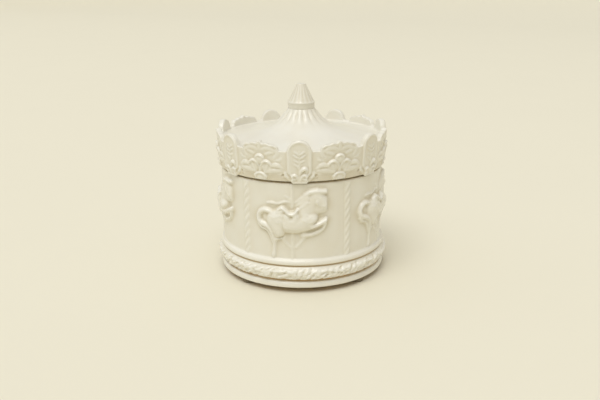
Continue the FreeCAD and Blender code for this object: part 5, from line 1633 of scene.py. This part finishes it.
@dataclass
class LeafBase:
    """Ceramic base: rounded foot, groove painted dark as shade, band of leaves, and the recess for the key.
    """

    crest_bulge: float = 4.2
    foot_bulge: float = 2.1
    foot_height: float = 4.2
    foot_rounding: float = 0.5
    foot_lip: float = 0.3
    foot_slant: float = 0.6
    face_start: float = 1.2
    face_painted_highlight: float = 0.4
    shoulder_rounding: float = 1.2
    shoulder_steps: int = 6
    shoulder_depth: float = 2.2
    shoulder_painted_highlight: float = 1.4
    shoulder_span: tuple[float, float] = (1.6, 0.5)
    lip_width: float = 1.4
    groove_height: float = 0.8
    groove_drop: float = 0.8
    groove_depth: float = 3.0
    band_height: float = 9.0
    band_drop: float = 1.2
    band_swell: float = 1.6
    edge_bulge: float = 1.8
    ground_bulge: float = 2.9
    leaf_lift: float = 1.15
    leaf_rise: tuple[float, float] = (-0.1, 0.2)
    leaf_fall: tuple[float, float] = (0.88, 1.02)
    hem_row: int = 3
    hem_lift: float = 0.3
    hem_bulge: float = 1.2
    hem_level: float = 0.55
    hem_droop: float = 1.1
    hem_limits: tuple[float, float] = (-0.3, 0.6)
    hem_painted_shade: float = 1.4
    softness: float = 0.8
    shading_width: float = 3.2
    shading_depth: float = 0.4
    band_painted_light: float = 0.4
    lip_outer: float = 47.4
    lip_inner: float = 45.8
    lip_height: float = 2.6
    floor_thickness: float = 3.6
    recess_radius: float = 43.0
    recess_depth: float = 9.8
    bore: float = 5.0
    leaves: int = 11
    stem: tuple[StrokePoint, ...] = (
        (-15.0, 1.8, 0.9, 0.7), (-9.0, 4.4, 1.3, 0.9), (-2.0, 6.6, 1.4, 1.0), (5.5, 6.4, 1.4, 1.05),
        (9.6, 4.2, 1.3, 1.05), (8.4, 2.2, 1.0, 0.95), (6.4, 2.8, 0.8, 0.85),
    )
    lobes: int = 8
    lobe_start: float = -14.0
    lobe_pitch: float = 3.7
    lobe_reach: float = 3.4
    lobe_slant: float = 3.2
    fleck_count: int = 560
    fleck_margins: tuple[float, float] = (0.8, 1.2)
    fleck_reach: tuple[float, float] = (0.8, 2.8)
    fleck_slope: tuple[float, float] = (0.2, 1.4)
    fleck_size: tuple[float, float] = (0.7, 1.2)
    fleck_lift: tuple[float, float] = (0.15, 0.5)
    columns: int = 1000
    rows: int = 32
    thinning: int = 4
    seed: int = 11

    def __post_init__(self) -> None:
        """Read the main sizes from the frame."""
        self.low = node_span("base")[0]
        self.wall = node_reach("base") - self.crest_bulge
        self.foot = self.wall + self.foot_bulge
        self.lip_low = self.low - self.foot_lip
        self.band_low = self.low + self.foot_height + self.groove_height
        self.band_high = self.band_low + self.band_height

    def leaf_strokes(self) -> list[Stroke]:
        """Strokes of the leaf scrolls, each a little unlike the last.

        Returns:
            Strokes along the whole band.
        """
        rng = np.random.default_rng(self.seed)
        step = 2 * math.pi * self.wall / self.leaves
        strokes = []
        for index in range(-1, self.leaves + 1):
            middle = (index + 0.5) * step + rng.uniform(-1.0, 1.0)
            strokes.append(self.placed(self.stem, middle, rng))
            for lobe in range(self.lobes):
                start = self.lobe_start + self.lobe_pitch * lobe
                reach = self.lobe_reach + rng.uniform(-0.6, 0.8)
                slant = self.lobe_slant + rng.uniform(-0.8, 0.9)
                upper = [(start, 4.2, 1.2, 0.8), (start + slant / 2, 4.4 + reach / 2, 1.4, 1.0),
                         (start + slant, min(8.2, 4.4 + reach), 0.8, 0.6)]
                lower = [(start + 1.4, 4.4, 1.2, 0.8), (start - slant / 4, 4.2 - reach / 2, 1.4, 0.95),
                         (start - slant, max(0.6, 4.2 - reach), 0.8, 0.55)]
                strokes.append(self.placed(upper, middle, rng))
                strokes.append(self.placed(lower, middle, rng))
        return strokes

    def flecks(self) -> list[Stroke]:
        """Small uneven marks that roughen the leaves.

        Returns:
            Strokes along the whole band.
        """
        rng = np.random.default_rng(self.seed + 1)
        low_margin, high_margin = self.fleck_margins
        strokes = []
        for _ in range(self.fleck_count):
            along = rng.uniform(0, 2 * math.pi * self.wall)
            up = rng.uniform(low_margin, self.band_height - high_margin)
            reach = rng.uniform(*self.fleck_reach)
            slope = rng.uniform(*self.fleck_slope)
            size = rng.uniform(*self.fleck_size)
            lift = rng.uniform(*self.fleck_lift)
            end_along, end_up = along + reach * math.cos(slope), up + reach * math.sin(slope)
            ends = ((along, up, size, lift), (end_along, end_up, size, lift))
            strokes.append(Stroke(ends, Cut.ADD if rng.uniform() < 0.5 else Cut.CARVE))
        return strokes

    @staticmethod
    def placed(points: Sequence[StrokePoint], middle: float, rng: np.random.Generator) -> Stroke:
        """Stroke of a leaf, set along the band with a little unevenness.

        Args:
            points: Points about the leaf's middle.
            middle: Place of the leaf's middle.
            rng: Source of the unevenness.

        Returns:
            The stroke.
        """
        moved = []
        for along, up, radius, lift in points:
            uneven = rng.uniform(-0.4, 0.4, 2)
            grown = radius * rng.uniform(0.85, 1.15)
            moved.append((middle + along + uneven[0], up + uneven[1], grown, lift * rng.uniform(0.8, 1.1)))
        return Stroke(tuple(moved))

    def build(self) -> bpy.types.Object:
        """Build the shell up its outside and down its inside.

        Returns:
            The shell's object.
        """
        azimuths = np.linspace(0, FULL_TURN, self.columns, endpoint=False)
        stack = RingStack(azimuths)
        self.add_foot(stack)
        self.add_band(stack)
        stack.azimuths = azimuths[:: self.thinning]
        self.add_inside(stack)
        return stack.build("leaf_base", closed=True)

    def add_foot(self, stack: RingStack) -> None:
        """Add the rounded foot, with a painted highlight on its face and top edge, and the floor of the
        groove above it, painted dark as shade.

        Args:
            stack: Rings of the shell.
        """
        groove_low = self.low + self.foot_height - self.groove_drop
        for angle in np.radians(np.linspace(0, 90, 6)):
            inward = self.foot_rounding * (1 - math.sin(angle))
            stack.ring(self.foot - inward, self.lip_low + self.foot_rounding * (1 - math.cos(angle)))
        face = [
            (self.foot, self.lip_low + self.face_start, 0),
            (self.foot - self.foot_slant, groove_low, self.shoulder_rounding),
            (self.foot - self.shoulder_depth, groove_low, 0),
        ]
        thin_start, thin_end = (groove_low - drop for drop in self.shoulder_span)
        for radius, height in rounded(face, self.shoulder_steps):
            # Painted highlight on the foot's face, strongest on its top edge.
            thin = self.shoulder_painted_highlight * ease(height, thin_start, thin_end)
            stack.ring(radius, height, -self.face_painted_highlight - thin)
        groove = self.foot - self.groove_depth
        # The groove's floor is painted as shade, in clay colour.
        stack.ring(groove + 0.1, groove_low, CLAY_AND_SHADE)
        stack.ring(groove, groove_low + 0.2, CLAY_AND_SHADE)

    def add_band(self, stack: RingStack) -> None:
        """Add the band of leaves, painted a little paler overall, whose uneven hem hangs over the groove
        with painted shade under it.

        Args:
            stack: Rings of the shell.
        """
        up = np.linspace(0, self.band_height, self.rows)
        relief = Relief(np.radians(stack.azimuths) * self.wall, up)
        relief.work(self.leaf_strokes())
        relief.work(self.flecks())
        relief.soften(self.softness)
        # Painted shade in hollows and painted highlight on raised leaves, the whole band painted a little
        # paler.
        hollow = relief.shade_and_highlight(self.shading_width, self.shading_depth) - self.band_painted_light
        hem = np.clip(self.hem_level - self.hem_droop * relief.height[self.hem_row], *self.hem_limits)
        hem_height = self.band_low + self.hem_lift + hem
        # Painted shade under the hem, in clay colour.
        stack.ring(self.foot - self.groove_depth, hem_height, CLAY_AND_SHADE)
        stack.ring(self.wall + self.hem_bulge, hem_height, self.hem_painted_shade)
        for level, raised, pool in zip(up[1:-1], relief.height[1:-1], hollow[1:-1]):
            share = level / self.band_height
            swell = (self.ground_bulge - self.edge_bulge) * math.sin(math.pi * share**self.band_swell)
            fade = float(ease(share, *self.leaf_rise) * (1 - ease(share, *self.leaf_fall)))
            height = self.band_low + np.maximum(level - self.band_drop * share, hem + 0.1 * (1 - share))
            radius = self.wall + self.edge_bulge + swell + self.leaf_lift * raised * fade
            stack.ring(np.minimum(radius, self.wall + self.crest_bulge - BOX_MARGIN), height, pool * fade)
        # Painted highlight along the band's upper edge.
        stack.ring(self.wall + self.edge_bulge - 0.3, self.band_high - 0.8 * self.band_drop, -0.3)
        # Bare clay colour on the seat, which also paints shade in the gap under the drum.
        stack.ring(self.wall + 0.5 * self.edge_bulge, self.band_high - 0.15, CLAY_AND_SHADE)
        stack.ring(self.wall + 0.1 * self.edge_bulge, self.band_high, CLAY_AND_SHADE)

    def add_inside(self, stack: RingStack) -> None:
        """Add the drum's seat, the floor plate and the unglazed underside, whose clay colour also paints
        shade under the foot.

        Args:
            stack: Rings of the shell.
        """
        recess = self.low + self.recess_depth
        floor_top = recess + self.floor_thickness
        lip_top = self.band_high + self.lip_height
        inside = [
            (self.wall, self.band_high, 0),
            (self.lip_outer, self.band_high, 0.3),
            (self.lip_outer, lip_top, 0.5),
            (self.lip_inner, lip_top, 0.5),
            (self.lip_inner, floor_top, 0.6),
            (self.bore, floor_top, 0.3),
            (self.bore, recess + 1.0, 0),
        ]
        underside = [
            (self.bore, recess + 0.9, 0),
            (self.bore, recess, 0.4),
            (self.recess_radius, recess, 1.2),
            (self.recess_radius, self.low, 0.8),
            (self.foot - self.lip_width, self.low, 0.1),
            (self.foot - self.lip_width, self.lip_low, 0.1),
            (self.foot - 1.2 * self.foot_rounding, self.lip_low, 0),
        ]
        stack.profile(rounded(inside))
        # Bare clay colour underneath, which also stands for painted shade under the foot.
        stack.profile(rounded(underside), CLAY_AND_SHADE)


@dataclass
class FeltLiner:
    """Round felt liner laid on the drum's floor."""

    columns: int = 180
    rows: int = 44
    inset: float = 0.1
    lift: float = 0.02
    fray: float = 0.08
    unevenness: float = 0.12
    edge: float = 0.3
    seed: int = 5

    def build(self) -> bpy.types.Object:
        """Build the disc.

        Returns:
            The disc's object.
        """
        low, high = node_span("trinket_liner")
        radius = node_reach("trinket_liner") - self.inset
        azimuths = np.linspace(0, FULL_TURN, self.columns, endpoint=False)
        uneven = self.edge_waves(np.radians(azimuths))
        stack = RingStack(azimuths)
        stack.pole(low + self.lift)
        stack.ring(radius * 0.5, low + self.lift)
        stack.ring(radius - self.edge, low + self.lift)
        stack.ring(radius + self.fray * uneven, low + self.edge)
        stack.ring(radius + self.fray * uneven, high - self.edge)
        for share in np.linspace(0.995, 0.02, self.rows):
            dip = self.unevenness * (0.5 + 0.5 * uneven * share + 0.4 * math.sin(9 * share))
            stack.ring(radius * share, high - np.clip(dip, 0, 3 * self.unevenness))
        stack.pole(high - self.unevenness)
        return stack.build("felt_disc", closed=False)

    def edge_waves(self, turn: np.ndarray) -> np.ndarray:
        """Uneven waves round the disc, from three to eight in a turn.

        Args:
            turn: Angles of the columns, in radians.

        Returns:
            Height of the waves at each column.
        """
        rng = np.random.default_rng(self.seed)
        uneven = np.zeros(len(turn))
        for waves in range(3, 9):
            uneven += rng.uniform(0.2, 0.5) * np.cos(waves * turn + rng.uniform(0, 2 * math.pi)) / waves
        return uneven


@dataclass
class Studio:
    """Pale floor that curves up into a backdrop, soft light and the photograph's camera."""

    floor: Colour = (0.83, 0.79, 0.645)
    far_shade: float = 0.91
    back_dimming: float = 0.3
    side_dimming: float = 0.25
    sides: int = 120
    flat_rings: tuple[float, ...] = (0.1, 0.5, 2.0)
    front_share: float = 0.22
    curve_start: float = 7.0
    curve_radius: float = 2.0
    curve_steps: int = 15
    wall_height: float = 3.0
    high_left: Colour = (0.715, 0.72, 0.72)
    high_right: Colour = (0.63, 0.61, 0.575)
    low_left: Colour = (0.37, 0.355, 0.30)
    low_right: Colour = (0.09, 0.055, 0.0)
    key_from: tuple[float, float, float] = (-0.19, -0.45, 1.0)
    key_width: float = 40.0
    key_share: float = 0.44
    lens: float = 42.0
    sensor: float = 36.0
    near_clip: float = 0.01
    camera_place: tuple[float, float, float] = (-1.4, -456.4, 182.3)
    pitch: float = 17.3
    roll: float = -0.52

    def build(self) -> None:
        """Build the floor, the light and the camera."""
        self.make_floor()
        self.make_sky()
        self.make_lamp()
        self.make_camera()

    def make_floor(self) -> None:
        """Sweep the floor's line round, rising highest at the back."""
        line = [(distance, 0.0) for distance in (*self.flat_rings, self.curve_start)]
        for angle in np.radians(np.linspace(6, 90, self.curve_steps)):
            forward = self.curve_start + self.curve_radius * math.sin(angle)
            line.append((forward, self.curve_radius * (1 - math.cos(angle))))
        line.append((self.curve_start + self.curve_radius, self.wall_height))
        azimuths = np.linspace(0, FULL_TURN, self.sides, endpoint=False)
        rise = ease(-np.cos(np.radians(azimuths)), 0.0, 0.7)
        share = self.front_share + (1 - self.front_share) * rise
        stack = RingStack(azimuths)
        stack.pole(0.0)
        for distance, height in line:
            stack.ring(distance / MM, share * height / MM)
        floor = stack.build("floor", closed=False)
        floor.data.materials.append(self.paper())

    def paper(self) -> bpy.types.Material:
        """Matt cream paper, faintly uneven, with painted shade that makes it a little dimmer far back and
        to the right.

        Returns:
            The material.
        """
        shader = Shader.of_material("cream_paper")
        cloud = shader.noise(120.0, 2.0)
        across = shader.axis(shader.places(), "X")
        back = shader.axis(shader.places(), "Y")
        # Painted shade: darker towards the back and to the right.
        dim = shader.ramp(self.back_dimming * back + self.side_dimming * across, [(0.0, 0.0), (1.0, 1.0)])
        darker = tuple(self.far_shade * part for part in self.floor)
        colour = shader.mix(0.85 * dim + 0.15 * cloud, self.floor, darker)
        return shader.surface({"Base Color": colour, "Roughness": 0.9, "Specular IOR Level": 0.1})

    def make_sky(self) -> None:
        """Fill the room with soft light, dimmer low down and to the right."""
        shader = Shader(bpy.data.worlds.new("studio"))
        spot = shader.node("ShaderNodeTexCoord", {}, {}, "Generated")
        across = shader.axis(spot, "X")
        up = shader.axis(spot, "Z")
        low = shader.mix(0.5 + 0.5 * across, self.low_left, self.low_right)
        high = shader.mix(0.5 + 0.7 * across, self.high_left, self.high_right)
        sky = shader.mix(shader.ramp(up, [(0.05, 0.0), (0.6, 1.0)]), low, high)
        background = shader.node("ShaderNodeBackground", {}, {"Color": sky})
        shader.node("ShaderNodeOutputWorld", {}, {"Surface": background})
        bpy.context.scene.world = shader.owner

    def make_lamp(self) -> None:
        """Add a broad light from above the camera's left."""
        data = bpy.data.lights.new("broad_light", "SUN")
        data.energy = self.key_share * math.pi
        data.angle = math.radians(self.key_width)
        lamp = bpy.data.objects.new("broad_light", data)
        lamp.rotation_euler = (-Vector(self.key_from)).to_track_quat("-Z", "Y").to_euler()
        bpy.context.scene.collection.objects.link(lamp)

    def make_camera(self) -> None:
        """Set the camera at the photograph's viewing angle."""
        data = bpy.data.cameras.new("photo_camera")
        data.lens = self.lens
        data.sensor_width = self.sensor
        data.clip_start = self.near_clip
        camera = bpy.data.objects.new("photo_camera", data)
        tilt = Matrix.Rotation(math.radians(90 - self.pitch), 4, "X")
        lean = Matrix.Rotation(math.radians(self.roll), 4, "Z")
        place = Vector(self.camera_place) + Vector((0, 0, node_span("base")[0]))
        camera.matrix_world = Matrix.Translation(place * MM) @ (tilt @ lean)
        bpy.context.scene.collection.objects.link(camera)
        bpy.context.scene.camera = camera


def dress_frame(materials: dict[Slot, bpy.types.Material]) -> None:
    """Give every CAD node the finish of its slot.

    Args:
        materials: Finishes by slot.
    """
    for row in frame["record"]["subparts"]:
        mesh = frame["nodes"][row["node"]].data
        mesh.materials.clear()
        mesh.materials.append(materials[Slot(row["material_slot"])])
        LOG.info("%s is finished in %s", row["node"], row["material_slot"])


def main() -> None:
    """Build and dress every piece, then the studio."""
    logging.basicConfig(level=logging.INFO, format="%(message)s")
    bpy.context.scene.view_settings.view_transform = "Standard"
    materials = {slot: finish.material() for slot, finish in FINISHES.items()}
    dress_frame(materials)
    glaze = materials[Slot.CERAMIC]
    place_piece(LeafBase().build(), Body.BASE, "base", glaze)
    place_piece(Drum().build(), Body.CAROUSEL, "drum", glaze)
    place_piece(Lid().build(), Body.LID, "lid", glaze)
    liner = FeltLiner()
    disc = liner.build()
    place_piece(disc, Body.CAROUSEL, "trinket_liner", materials[Slot.FELT])
    Studio().build()


if __name__ == "__main__":
    main()
